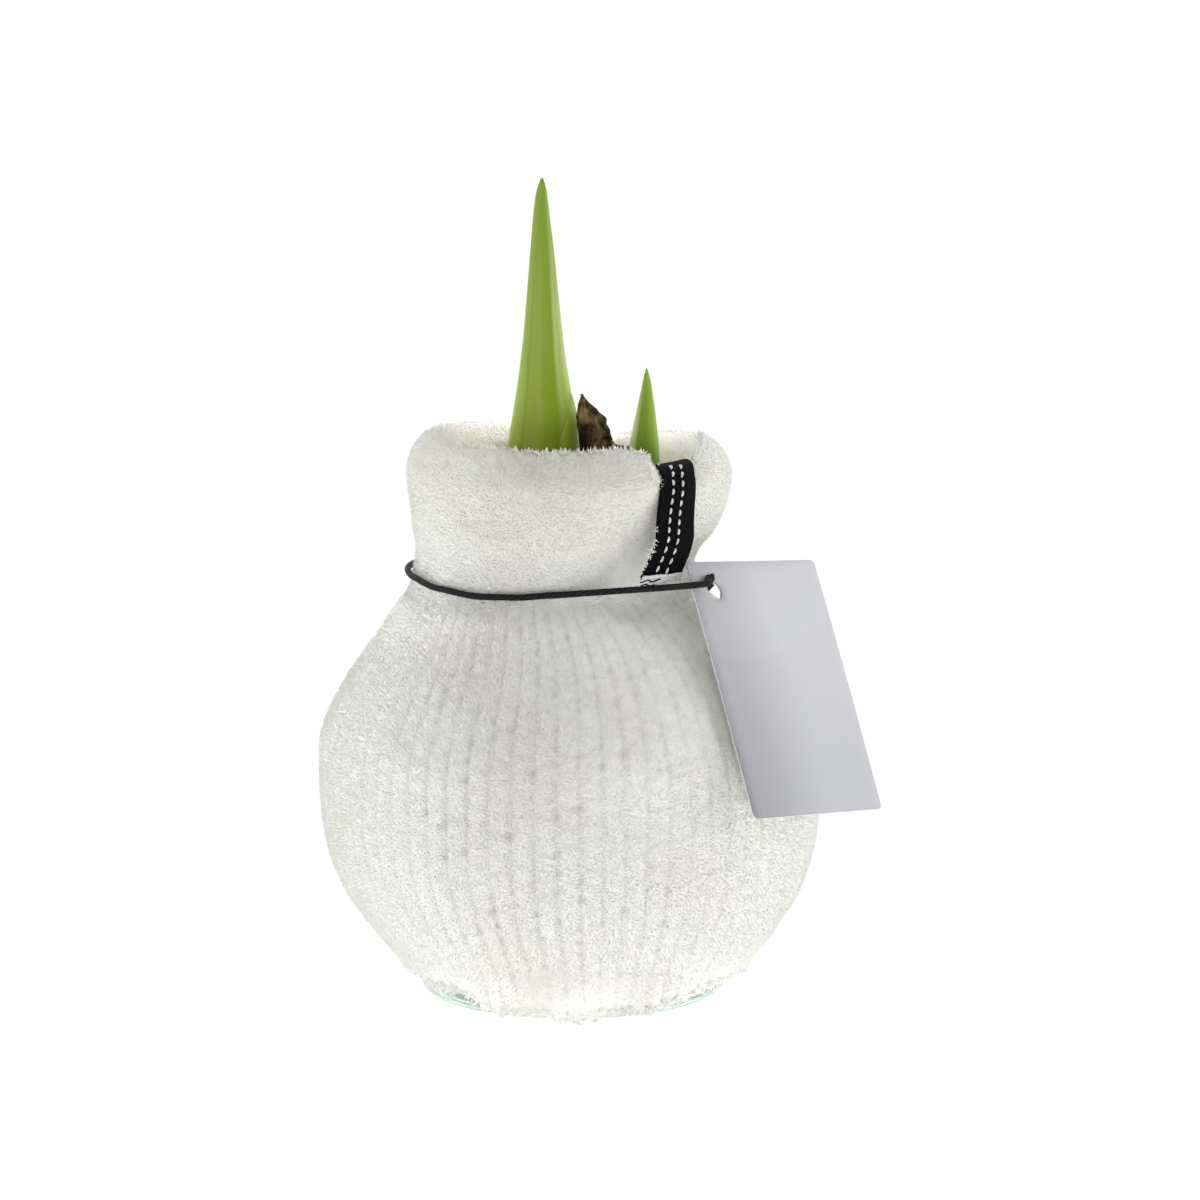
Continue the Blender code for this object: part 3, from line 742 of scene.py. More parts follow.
def fibre_group(name, density, length, thickness, lean, seed):
    """Geometry nodes that stand short tapered fibres on a surface and make them real mesh.

    The density is to a square metre, and the length and thickness are in metres."""
    group = Nodes(bpy.data.node_groups.new(name, "GeometryNodeTree"))
    for way in ("INPUT", "OUTPUT"):
        group.tree.interface.new_socket("Geometry", in_out=way, socket_type="NodeSocketGeometry")
    pile = group.node("GeometryNodeInputNamedAttribute", {"data_type": "FLOAT"}, Name="pile")
    points = group.node(
        "GeometryNodeDistributePointsOnFaces", Seed=seed,
        Mesh=group.node("NodeGroupInput").outputs[0],
        Density=group.maths("MULTIPLY", pile.outputs["Attribute"], density),
    ).outputs
    fibre = group.node(
        "GeometryNodeMeshCone", {"fill_type": "NONE"}, Vertices=3, Side_Segments=1,
        Radius_Top=0.0, Radius_Bottom=thickness, Depth=length,
    )
    place = group.node("GeometryNodeInputPosition").outputs[0]
    height = group.node("ShaderNodeSeparateXYZ", Vector=place).outputs["Z"]
    marked = group.node(
        "GeometryNodeStoreNamedAttribute", {"data_type": "FLOAT", "domain": "POINT"}, Name="tip",
        Geometry=fibre.outputs["Mesh"], Value=group.maths("DIVIDE", height, length),
    )
    stray = group.node("FunctionNodeRandomValue", {"data_type": "FLOAT_VECTOR"}, Seed=seed + 1)
    stray.inputs[0].default_value, stray.inputs[1].default_value = (-lean,) * 3, (lean,) * 3
    way = group.maths("ADD", points["Normal"], stray.outputs[0], kind="ShaderNodeVectorMath")
    size = group.node("FunctionNodeRandomValue", {"data_type": "FLOAT"}, Seed=seed + 2)
    size.inputs[2].default_value, size.inputs[3].default_value = 0.55, 1.15
    turn = group.node("FunctionNodeAlignRotationToVector", {"axis": "Z"}, Vector=way)
    copies = group.node(
        "GeometryNodeInstanceOnPoints", Points=points["Points"], Scale=size.outputs[1],
        Instance=marked.outputs["Geometry"], Rotation=turn.outputs["Rotation"],
    )
    real = group.node("GeometryNodeRealizeInstances", Geometry=copies.outputs[0])
    coat = group.node("GeometryNodeSetMaterial", Geometry=real.outputs[0], Material=PILE)
    group.node("NodeGroupOutput", Geometry=coat.outputs[0])
    return group.tree


def in_sector(side):
    """A test for the faces in one third of the way round: side 0 is the front, 1 right, -1 left."""
    def keep(layer, face):
        x, y, _ = face.calc_center_median() / MM
        if side == 0:
            return y < -abs(x) * SECTOR_SLOPE
        return y >= -abs(x) * SECTOR_SLOPE and (x > 0) == (side > 0)
    return keep


def in_band(low, high, furthest=1000.0):
    """A test for the faces between two lengths along the sleeve, and not further back than this Y."""
    def keep(layer, face):
        vert = face.verts[0]
        return low <= vert[layer] / MM <= high and vert.co.y <= furthest * MM
    return keep


def pile_on(source, name, keep, density, length, thickness, lean, seed):
    """Real mesh fibres, in millimetres, over the faces of a piece that pass the test."""
    bm = bmesh.new()
    bm.from_mesh(source.data)
    layer = bm.verts.layers.float.get("along")
    away = [face for face in bm.faces if keep and not keep(layer, face)]
    bmesh.ops.delete(bm, geom=away, context="FACES")
    ground = linked(name + "_ground", mesh_from(bm, name + "_ground"))
    modifier = ground.modifiers.new("Pile", "NODES")
    modifier.node_group = fibre_group(name, density, length * MM, thickness * MM, lean, seed)
    fibres = evaluated_mesh(ground)
    fibres.name = name
    fibres.shade_smooth()
    fibres.materials.clear()
    fibres.materials.append(PILE)
    piece = linked(name, fibres)
    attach(piece, "root")
    return piece


def make_sleeve():
    knit = knit_material()
    length = PATH_ALONG[-1]
    body = sleeve_part("knit_body", 0.0, WAIST_ALONG, WALES * BODY_STEPS_PER_WALE, knit)
    collar = sleeve_part("knit_turnover", WAIST_ALONG, length, WALES * COLLAR_STEPS_PER_WALE, knit)
    for piece, node in ((body, "knit_sleeve"), (collar, "knit_collar")):
        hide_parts(node)
    for name, side, seed in (("front", 0, 11), ("right", 1, 23), ("left", -1, 37)):
        pile_on(body, "body_pile_" + name, in_sector(side), 3.0e6, 1.1, 0.155, 0.6, seed)
    pile_on(collar, "collar_pile", None, 3.4e6, 0.95, 0.16, 0.55, 51)
    lip = in_band(CREST_ALONG - 2.2, CREST_ALONG + 1.6, furthest=14.0)
    pile_on(collar, "lip_tufts", lip, 0.9e6, 2.1, 0.56, 0.6, 71)
    pile_on(body, "hem_tufts", in_band(0.0, 2.6), 1.6e6, 2.2, 0.34, 1.0, 83)


# ---------------------------------------------------------------- the vase
VASE_OUTLINE = [
    (0.0, 42.6), (1.2, 45.0), (3.5, 45.6), (7.5, 45.9), (14.0, 50.2), (22.0, 56.2), (31.0, 62.9),
    (42.0, 67.4), (54.0, 69.4), (67.0, 69.9), (78.0, 69.0), (90.0, 63.9), (100.0, 57.2),
    (108.5, 49.4), (117.0, 39.3), (122.5, 33.6), (129.0, 31.5), (135.0, 32.4), (141.5, 36.0),
    (150.0, 40.4), (157.0, 42.2), (161.9, 42.0),
]
VASE_WALL = 2.6
VASE_INSIDE_FROM = 7.0
# The lip as (distance in from the rim, height), and (radius, height) under the foot and inside.
VASE_LIP = [(0.5, 162.5), (1.3, 162.8), (2.1, 162.5)]
VASE_PUNT = [(0.0, 1.6), (22.0, 1.5), (38.0, 0.6)]
VASE_FLOOR = [(38.0, 6.2), (20.0, 5.0), (0.0, 4.6)]


def make_vase():
    outer = [(point.x, point.y) for point in smooth_outline(VASE_OUTLINE, 4)]
    inner = []
    for number, (r, z) in enumerate(outer):
        before, after = outer[max(number - 1, 0)], outer[min(number + 1, len(outer) - 1)]
        dr, dz = after[0] - before[0], after[1] - before[1]
        length = math.hypot(dr, dz)
        if z > VASE_INSIDE_FROM:
            inner.append((r - VASE_WALL * (dz / length), z + VASE_WALL * (dr / length)))
    lip = [(outer[-1][0] - inward, height) for inward, height in VASE_LIP]
    profile = VASE_PUNT + outer + lip + inner[::-1] + VASE_FLOOR
    piece = finished(spun(profile, 112), "blown_glass_vase", glass_material())
    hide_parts("glass_vase")


# ---------------------------------------------------------------- the bulb
BULB_OUTLINE = [
    (110.0, 8.0), (112.0, 13.5), (117.0, 19.5), (124.0, 24.6), (131.0, 28.0), (137.0, 29.7),
    (142.5, 31.8), (147.0, 32.6), (151.0, 31.6), (155.0, 28.9), (158.5, 23.6), (160.7, 16.0),
    (161.8, 8.0),
]
BULB_BASE, BULB_TOP = 110.0, 161.9


def make_bulb():
    curve = [(point.x, point.y) for point in smooth_outline(BULB_OUTLINE, 4)]
    profile = [(0.0, BULB_BASE)] + curve + [(0.0, BULB_TOP)]
    piece = finished(spun(profile, 96), "amaryllis_bulb", bulb_material())
    places = coordinates(piece.data) / MM
    azimuth = np.arctan2(places[:, 1], places[:, 0])
    folds = 0.35 * np.sin(azimuth * 31 + 1.5 * np.sin(azimuth * 4))
    folds = folds + 0.5 * wander(azimuth * 3, places[:, 2] / 12, seed=3.0)
    inside = ease(np.hypot(places[:, 0], places[:, 1]), 4.0, 14.0)
    places[:, :2] *= (1.0 + (np.minimum(folds, 0.25) - 0.35) * inside / 30.0)[:, None]
    set_coordinates(piece.data, places * MM)
    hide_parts("bulb")
    roots = bpy.data.objects["basal_plate_and_roots"]
    roots.data.materials.clear()
    roots.data.materials.append(root_material())


# ---------------------------------------------------------------- shoots
# Outlines seen from the front, as (height, x), in millimetres.
SHOOT_LEFT = [
    (153.0, -18.9), (165.1, -19.3), (170.2, -18.5), (184.0, -16.3), (198.0, -14.6), (214.4, -13.3),
    (225.4, -12.5), (234.0, -11.8), (239.0, -11.2), (242.0, -10.5), (244.2, -9.7), (245.3, -8.7),
]
SHOOT_RIGHT = [
    (153.0, 2.1), (165.0, 1.7), (174.0, 1.4), (181.9, -0.2), (192.3, -1.9), (206.7, -3.4),
    (223.3, -4.9), (236.3, -6.4), (241.5, -7.1), (244.2, -7.9), (245.3, -8.6),
]
SIDE_LEFT = [
    (152.5, 16.9), (160.6, 16.7), (166.4, 17.0), (171.2, 18.0), (177.2, 19.2), (183.2, 20.4),
    (187.3, 21.3), (189.5, 22.1),
]
SIDE_RIGHT = [
    (152.5, 26.2), (161.0, 26.3), (166.4, 26.2), (171.2, 25.7), (177.2, 25.0), (184.7, 23.8),
    (187.8, 23.0), (189.5, 22.2),
]
# A shoot: its outlines, the Y of its middle, its depth over its width, and its foot's height.
MAIN = (SHOOT_LEFT, SHOOT_RIGHT, 0.0, 0.66, 153.0)
SIDE = (SIDE_LEFT, SIDE_RIGHT, -8.5, 0.8, 152.5)
# Colours across a leaf, from its left margin (0) to its right (1). On the main shoot the dark line at
# 0.2 is painted shade along a leaf's margin, and the pale band at 0.8 is a painted highlight.
MAIN_BANDS = [
    (0.0, (0.31, 0.40, 0.09)), (0.15, (0.27, 0.36, 0.07)), (0.20, (0.20, 0.28, 0.03)),
    (0.25, (0.27, 0.36, 0.06)), (0.42, (0.30, 0.38, 0.08)), (0.50, (0.24, 0.34, 0.03)),
    (0.72, (0.20, 0.31, 0.015)), (0.80, (0.40, 0.49, 0.17)), (0.87, (0.33, 0.43, 0.11)),
    (1.0, (0.42, 0.50, 0.20)),
]
SIDE_BANDS = [
    (0.0, (0.66, 0.71, 0.42)), (0.14, (0.48, 0.57, 0.22)), (0.25, (0.20, 0.32, 0.025)),
    (0.56, (0.22, 0.36, 0.03)), (0.72, (0.25, 0.40, 0.05)), (1.0, (0.27, 0.42, 0.06)),
]
SHEATH_BANDS = [
    (0.0, (0.28, 0.40, 0.045)), (0.5, (0.29, 0.41, 0.045)), (0.8, (0.30, 0.42, 0.05)),
    (0.9, (0.33, 0.44, 0.07)), (1.0, (0.38, 0.48, 0.13)),
]


# A leaf: its name, its node, its slot, its shoot, its tip's height, the arc it covers in degrees,
# how far it stands off, its thickness, its rings, how far in it starts, and how pointed it is.
LEAVES = (
    ("bud_in_spathe", "bud_spathe", "leaf", MAIN, 245.3, 0, 360, 0.0, 0.0, 44, 0.45, 0.5),
    ("outer_leaf_left", "shoot_leaf_left", "leaf", MAIN, 242.6, 92, 232, -0.35, 0.55, 36, 0.25, 0.5),
    ("outer_leaf_right", "shoot_leaf_right", "leaf", MAIN, 236.0, -52, 88, -0.35, 0.55, 34, 0.25, 0.5),
    ("low_sheath", "shoot_sheath", "leaf_sheath", MAIN, 181.0, -66, 40, 0.1, 0.5, 18, 0.1, 0.95),
    ("side_leaf", "side_shoot_leaf", "young_leaf", SIDE, 189.5, 0, 360, 0.0, 0.0, 26, 0.35, 0.5),
    ("side_sheath", "side_shoot_sheath", "young_leaf", SIDE, 183.0, 110, 262, -0.2, 0.5, 20, 0.2, 0.5),
)


def leaf_ring(height, left, right, y, depth, start, end, lift, thickness, whole):
    """A bent strip on the outside of a shoot, thin at its margins, or a whole ring."""
    middle, half = (left + right) / 2, max((right - left) / 2, 0.04)
    count = 40 if whole else 18
    ring, inner = [], []
    for number in range(count + (0 if whole else 1)):
        share = number / count
        angle = math.radians(start + (end - start) * share)
        edge = 1.0 if whole else min(1.0, 5.0 * min(share, 1.0 - share) + 0.18)
        ridge = 0.10 * math.cos(angle * 9 + 0.6) * min(1.0, half / 6.0)
        for side, over in ((ring, lift + thickness * edge + ridge), (inner, lift)):
            x = middle + (half + over) * math.cos(angle)
            side.append((x * MM, (y + (half * depth + over) * math.sin(angle)) * MM, height * MM))
    return ring if whole else ring + inner[::-1]


def make_leaf(
    name, node, slot, shoot, tip, start, end, lift, thickness, rings, inward, point, material
):
    """One leaf, thin and narrow at its tip, that follows its shoot's outlines."""
    left, right, y, depth, base = shoot
    whole = end - start >= 359.9
    middle, spread = (start + end) / 2, (end - start) / 2
    sections = []
    for number in range(rings + 1):
        # The rings lie closer together towards the tip.
        height = base + (tip - base) * (1.0 - (1.0 - number / rings) ** 1.25)
        rise = (height - base) / (tip - base)
        reach = spread * (1.0 if whole else 1.0 - point * rise**3)
        low, high = table_value(left, height), table_value(right, height)
        inset = inward * min(1.0, (high - low) / 6.0)
        sides, arc = (low + inset, high - inset), (middle - reach, middle + reach)
        thin = thickness * (1.0 - 0.75 * rise**2)
        sections.append(leaf_ring(height, *sides, y, depth, *arc, lift, thin, whole))
    piece = finished(grown(sections), name, material)
    # The shoot's own directions, for the bands: across from 0 to 1, and rise from 0 to 1.
    x, _, z = (coordinates(piece.data) / MM).T
    low, high = table_value(left, z), table_value(right, z)
    across = (x - low) / np.maximum(high - low, 0.2)
    float_attribute(piece.data, "across", np.clip(across, 0.0, 1.0))
    float_attribute(piece.data, "rise", np.clip((z - base) / (left[-1][0] - base), 0.0, 1.0))
    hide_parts(node)


def make_shoots():
    # The foot colours paint light on the leaves' lower half, against the shade in the mouth, with a
    # yellower tint.
    leaf = leaf_material("shoot_leaf", MAIN_BANDS, (1.25, 1.18, 0.85), (0.18, 0.28, 0.03))
    young = leaf_material("young_leaf", SIDE_BANDS, (1.05, 1.0, 0.85), (0.22, 0.34, 0.04))
    sheath = leaf_material("low_sheath", SHEATH_BANDS, (1.12, 1.06, 0.78), (0.22, 0.33, 0.04))
    materials = {"leaf": leaf, "young_leaf": young, "leaf_sheath": sheath}
    for row in LEAVES:
        make_leaf(*row, materials[row[2]])


# ---------------------------------------------------------------- dry scales at the neck
NOSE_LEFT = [
    (160.0, 3.0), (166.8, 2.3), (172.8, 1.7), (176.8, 1.8), (179.2, 2.3), (181.2, 2.85),
]
NOSE_RIGHT = [
    (160.0, 14.9), (163.8, 14.1), (167.1, 12.4), (173.1, 10.2), (177.3, 6.9), (179.4, 4.7),
    (181.2, 3.2),
]
NOSE_Y = -4.5
NOSE_BASE = 160.0
NOSE_DEPTH = 0.72
# A torn skin: its place, its turn in degrees, its length, its width and its curl.
FLAKES = (
    ((7.2, -9.4, 161.0), (84, 8, -14), 6.4, 5.0, 1.5),
    ((11.2, -8.2, 161.6), (80, 22, 24), 6.2, 4.4, 1.3),
    ((8.6, -8.6, 165.2), (86, 30, 6), 5.6, 4.2, 1.1),
    ((11.2, -8.6, 161.5), (20, 25, -120), 5.2, 3.4, 1.5),
    ((13.0, -5.0, 160.9), (30, 0, -70), 5.6, 3.0, 1.2),
    ((4.0, 6.5, 160.8), (35, 0, 15), 6.0, 6.0, 0.9),
    ((-14.0, 8.6, 157.6), (50, 0, 40), 7.5, 7.5, 0.7),
    ((-15.5, -7.8, 157.6), (42, 0, 150), 5.5, 6.0, 0.9),
    ((16.0, 3.0, 158.6), (40, 0, -60), 6.5, 6.5, 0.9),
    ((26.0, -14.0, 154.6), (46, 0, -130), 5.5, 5.0, 0.8),
)


def crumpled_scale(name, start, end, tip, grow, seed):
    """A dry half-cone of papery skin, creased lengthwise, with a torn top edge."""
    sections, count, levels = [], 40, 30
    top = tip - 1.6 * (1 + math.sin(seed * 5.0)) * 0.5
    for level in range(levels + 1):
        rise = level / levels
        height = NOSE_BASE + (top - NOSE_BASE) * rise
        left, right = table_value(NOSE_LEFT, height), table_value(NOSE_RIGHT, height)
        middle, half = (left + right) / 2, max((right - left) / 2 + grow, 0.2)
        slim = min(1.0, half / 3.0)
        outer, inner = [], []
        for number in range(count + 1):
            share = number / count
            angle = math.radians(start + (end - start) * share)
            crease = 0.42 * math.sin(angle * 11 + 2.2 * math.sin(height * 0.33 + seed) + seed)
            crease += 0.30 * math.sin(angle * 23 - height * 0.7 + seed * 3)
            crease += 0.25 * math.sin(height * 1.7 + angle * 4 + seed * 7)
            crease *= (0.35 + 0.65 * rise) * slim
            torn = 0.9 * math.sin(angle * 7 + seed) + 0.6 * math.sin(angle * 17 + seed * 2)
            z = height + 0.5 * rise * slim * torn
            thin = 0.28 * min(1.0, 6.0 * min(share, 1 - share) + 0.3)
            for side, lift in ((outer, thin), (inner, -thin)):
                x = middle + (half + crease + lift) * math.cos(angle)
                y = NOSE_Y + (half * NOSE_DEPTH + crease + lift) * math.sin(angle)
                side.append((x * MM, y * MM, z * MM))
        sections.append(outer + inner[::-1])
    piece = finished(grown(sections), name, DRY_SCALE)
    x, _, z = (coordinates(piece.data) / MM).T
    # Painted shade: the hollow low on the scale's left side, next to the shoot.
    beside = 1.0 - ease(x - table_value(NOSE_LEFT, z), 1.6, 4.6)
    float_attribute(piece.data, "hollow_shade", beside * (1.0 - ease(z, 168.0, 174.0)))
    return piece


def curled_flake(name, place, turn, length, width, curl):
    """A torn strip of dry skin that curls off the neck."""
    bm = bmesh.new()
    bmesh.ops.create_grid(bm, x_segments=6, y_segments=14, size=0.5)
    for vert in bm.verts:
        across, along = vert.co.x, vert.co.y + 0.5
        narrow = width * (1.0 - 0.75 * along**2) * (1.0 + 0.18 * math.sin(along * 17.0))
        bend = curl * along
        reach = length * math.sin(bend) / curl
        rise = length * (1.0 - math.cos(bend)) / curl
        cup = 1.6 * narrow * across**2
        vert.co = Vector((across * narrow, reach, rise + cup)) * MM
    turned = Euler([math.radians(a) for a in turn]).to_matrix().to_4x4()
    bmesh.ops.transform(bm, matrix=Matrix.Translation(Vector(place) * MM) @ turned, verts=bm.verts)
    bmesh.ops.solidify(bm, geom=bm.faces, thickness=0.22 * MM)
    faces_out(bm)
    finished(bm, name, DRY_SCALE)


def make_scales():
    front = crumpled_scale("dry_scale_front", -190, -20, 181.7, -0.3, 0.7)
    back = crumpled_scale("dry_scale_back", -35, 150, 176.8, -0.7, 2.1)
    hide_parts("neck_scale_front")
    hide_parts("neck_scale_back")
    crumpled_scale("dry_scale_inner", -150, 20, 176.0, -2.2, 3.9)
    for number, flake in enumerate(FLAKES):
        curled_flake(f"curled_skin_{number + 1}", *flake)


# ---------------------------------------------------------------- the hang tag
TAG_WIDTH = 57.5
TAG_HEIGHT = 78.2
TAG_THICKNESS = 0.8
TAG_CORNER = 1.6
TAG_HOLE = 2.8
TAG_HOLE_CENTRE = (0.2, -0.9)
TAG_HOLE_FROM_SIDE = 8.9
TAG_HOLE_FROM_TOP = 8.3
TAG_HOLE_PLACE = Vector((41.3, -36.7, 127.4)) * MM
TAG_TURN = Euler((math.radians(-24.7), math.radians(5.7), math.radians(49.4)), "YXZ").to_matrix()
TAG_CROWN = 0.3
TAG_CUTS_UP, TAG_CUTS_ACROSS = 24, 16


def tag_crown(up):
    """How far the card's middle stands out of the plane of its ends, by height from the hole."""
    share = (TAG_HOLE_FROM_TOP - up) / TAG_HEIGHT
    return TAG_CROWN * (math.sin(math.pi * share) - math.sin(math.pi * TAG_HOLE_FROM_TOP / TAG_HEIGHT))


def tag_point(across, out, up):
    """A place from the tag's hole, in millimetres: across it, out of its face, and up it."""
    return TAG_HOLE_PLACE + TAG_TURN @ (Vector((across, -out, up)) * MM)


def bevel(bm, edges, offset, segments):
    bmesh.ops.bevel(
        bm, geom=edges, offset=offset, segments=segments, affect="EDGES", profile=0.5, material=-1
    )


def punched_card():
    """The flat card with its round corners and its hole, as a mesh in millimetres."""
    centre = Vector((TAG_WIDTH / 2 - TAG_HOLE_FROM_SIDE, 0.0, TAG_HOLE_FROM_TOP - TAG_HEIGHT / 2))
    size = Matrix.Diagonal((TAG_WIDTH, TAG_THICKNESS, TAG_HEIGHT, 1.0))
    bm = bmesh.new()
    bmesh.ops.create_cube(bm, size=1.0, matrix=Matrix.Translation(centre) @ size)
    corners = [e for e in bm.edges if abs((e.verts[0].co - e.verts[1].co).y) > TAG_THICKNESS / 2]
    bevel(bm, corners, TAG_CORNER, 8)
    blank = linked("tag_blank", mesh_from(bm, "tag_blank"))
    across, up = TAG_HOLE_CENTRE
    bm = bmesh.new()
    bmesh.ops.create_cone(
        bm, cap_ends=True, segments=48, radius1=TAG_HOLE, radius2=TAG_HOLE, depth=TAG_THICKNESS * 6,
        matrix=Matrix.Translation((across, 0.0, up)) @ Matrix.Rotation(math.pi / 2, 4, "X"),
    )
    punch = linked("tag_punch", mesh_from(bm, "tag_punch"))
    hole = blank.modifiers.new("Hole", "BOOLEAN")
    hole.operation = "DIFFERENCE"
    hole.object = punch
    cut = evaluated_mesh(blank)
    bpy.data.objects.remove(punch)
    return cut


def make_tag():
    bm = bmesh.new()
    bm.from_mesh(punched_card())
    rims = [e for e in bm.edges if len(e.link_faces) == 2 and e.calc_face_angle(0.0) > 1.2]
    bevel(bm, rims, 0.14, 2)
    cuts = [
        ((0, 0, TAG_HOLE_FROM_TOP - TAG_HEIGHT * number / TAG_CUTS_UP), (0, 0, 1))
        for number in range(1, TAG_CUTS_UP)
    ] + [
        ((TAG_WIDTH * number / TAG_CUTS_ACROSS - TAG_HOLE_FROM_SIDE, 0, 0), (1, 0, 0))
        for number in range(1, TAG_CUTS_ACROSS)
    ]
    for place, way in cuts:
        everything = [*bm.verts, *bm.edges, *bm.faces]
        bmesh.ops.bisect_plane(bm, geom=everything, plane_co=place, plane_no=way)
    for vert in bm.verts:
        vert.co = tag_point(vert.co.x, tag_crown(vert.co.z) - vert.co.y, vert.co.z)
    faces_out(bm)
    card = finished(bm, "silver_hang_tag", card_material())
    card.data.set_sharp_from_angle(angle=math.radians(35))
    local = (coordinates(card.data) - np.array(TAG_HOLE_PLACE)) @ np.array(TAG_TURN) / MM
    from_left = local[:, 0] + TAG_HOLE_FROM_SIDE
    from_bottom = local[:, 2] + TAG_HEIGHT - TAG_HOLE_FROM_TOP
    # Painted shade along the card's left side, most towards its bottom, and painted light towards its
    # right and its top.
    left_side_shade = (1.0 - ease(from_left, 0.0, 20.0)) * (0.3 + 0.7 * (1.0 - ease(from_bottom, 0.0, 62.0)))
    light = 0.8 * ease(from_left, 3.0, 40.0) + 0.32 * ease(from_bottom, 0.0, TAG_HEIGHT)
    behind = local[:, 1] + np.array([tag_crown(up) for up in local[:, 2]]) > 0.1
    for name, values in (("shade", 0.3 * left_side_shade), ("light", light), ("board", behind.astype(float))):
        float_attribute(card.data, name, np.clip(values, 0.0, 1.0))
    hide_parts("hang_tag")


# ---------------------------------------------------------------- the elastic and its knot
CORD_RADIUS = 0.95
CORD_SIDES = 14
CORD_HEIGHT = 126.7
CORD_COURSE = [
    (-180, 128.3), (-160, 127.6), (-140, 126.2), (-120, 125.3), (-105, 125.6), (-88, 126.5),
    (-6, 127.8), (60, 128.2), (120, 128.4),
]
CORD_LEAVES_NECK = math.radians(-88.0)
CORD_REJOINS_NECK = math.radians(-6.0)
CORD_RING_POINTS = 120
KNOT_POINTS = 96
KNOT_SIDES = 10
# Places from the tag's hole, in millimetres: across it, out from its face (or its back), and up it.
KNOT_CENTRE = (-1.6, 1.2, 2.9)
BESIDE_KNOT = (-2.9, 1.3, 2.4)
OVER_EDGE = (-TAG_HOLE_FROM_SIDE, 1.4, 0.7)
IN_HOLE = (-0.6, 0.5, 1.4)
BEHIND_HOLE = (-0.5, -TAG_THICKNESS - 2.4, 0.9)
KNOT_TAIL = [(-1.5, 1.2, 3.0), (-0.9, 1.4, 3.3), (-0.5, 1.4, 3.4)]


def off_card(across, out, up):
    """A place from the tag's hole, with out counted from the card's face."""
    return tag_point(across, TAG_THICKNESS / 2 + out, up)


def neck_point(angle):
    """A place on the elastic's ring round the gathered neck."""
    height = float(round_the_mouth(CORD_COURSE, np.array([angle]))[0])
    radius = table_value(SLEEVE_OUTLINE[:OUTSIDE_ROWS], CORD_HEIGHT) + CORD_RADIUS + 0.5
    x = radius * math.cos(angle) + sleeve_shift(height)
    return Vector((x, radius * math.sin(angle), height)) * MM


def braid_relief(angle, along):
    """Eight strands that wind both ways round the elastic."""
    wind = along / (3.2 * MM) * TURN
    return 0.045 * (abs(math.sin(2 * angle + wind)) + abs(math.sin(2 * angle - wind)) - 1.2)


def braided(name, route, radius, sides, relief=None, closed=False):
    """A round black cord along the route, or round it, with its UV map."""
    piece = finished(grown(tube_sections(route, radius * MM, sides, relief), closed), name, BRAID)
    tube_uv(piece.data, sides, route)
    return piece


def make_elastic():
    turn = CORD_LEAVES_NECK - (CORD_REJOINS_NECK - TURN)
    steps = range(CORD_RING_POINTS + 1)
    ring = [neck_point(CORD_LEAVES_NECK - turn * i / CORD_RING_POINTS) for i in steps]
    front = smooth_through([off_card(*BESIDE_KNOT), off_card(*OVER_EDGE), ring[0]], 12)
    back = smooth_through([ring[-1], off_card(*BEHIND_HOLE), off_card(*IN_HOLE)], 12)
    route = evenly(front[:-1] + ring + back[1:], 0.55 * MM)
    cord = braided("neck_elastic_cord", route, CORD_RADIUS, CORD_SIDES, braid_relief)
    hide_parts("neck_elastic")
    across, out, up = KNOT_CENTRE
    loops = []
    for number in range(KNOT_POINTS):
        t = TURN * number / KNOT_POINTS
        loops.append(off_card(
            across + 0.38 * (math.sin(t) + 1.7 * math.sin(2 * t)),
            out - 0.5 * math.sin(3 * t),
            up + 0.29 * (math.cos(t) - 1.7 * math.cos(2 * t)),
        ))
    knot = braided("tied_knot", loops, 0.62, KNOT_SIDES, closed=True)
    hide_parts("elastic_knot")
    tail = smooth_through([off_card(*place) for place in KNOT_TAIL], 6)
    braided("knot_tail", tail, 0.7, KNOT_SIDES)


# ---------------------------------------------------------------- the ribbon label
RIBBON_WIDTH = 14.4
# The azimuth of the ribbon's middle, by height.
RIBBON_COURSE = [
    (131.0, -57.5), (134.0, -56.3), (138.0, -54.4), (143.0, -51.9), (152.0, -50.2), (160.0, -47.8),
    (164.2, -44.0),
]
# (height, radius) rows from inside the mouth over the rim and down.
RIBBON_PATH = [
    (154.0, 32.6), (158.6, 33.6), (162.2, 36.6), (163.5, 41.0), (162.4, 45.4), (158.4, 48.7),
    (152.0, 49.9), (146.0, 50.4), (139.5, 51.4), (134.0, 50.9), (131.6, 50.4),
]
RIBBON_CREST = 163.5
RIBBON_ROUTE = evenly(smooth_outline(RIBBON_PATH, 8), 0.8)
RIBBON_ALONG = lengths_along(RIBBON_ROUTE)
RIBBON_LENGTH = RIBBON_ALONG[-1]
# Loose threads: from and to across the ribbon, how far below its end, and how they sway.
LOOSE_THREADS = ((-7.1, -0.6, 0.7, 0.3), (-6.8, -2.4, 1.9, 0.25))
STITCH_ROWS = (-2.7, 0.9)
STITCHES = 13


def ribbon_line(along):
    """The radius and the height of the ribbon's route at this length along it."""
    return [np.interp(along, RIBBON_ALONG, [point[i] for point in RIBBON_ROUTE]) for i in (0, 1)]


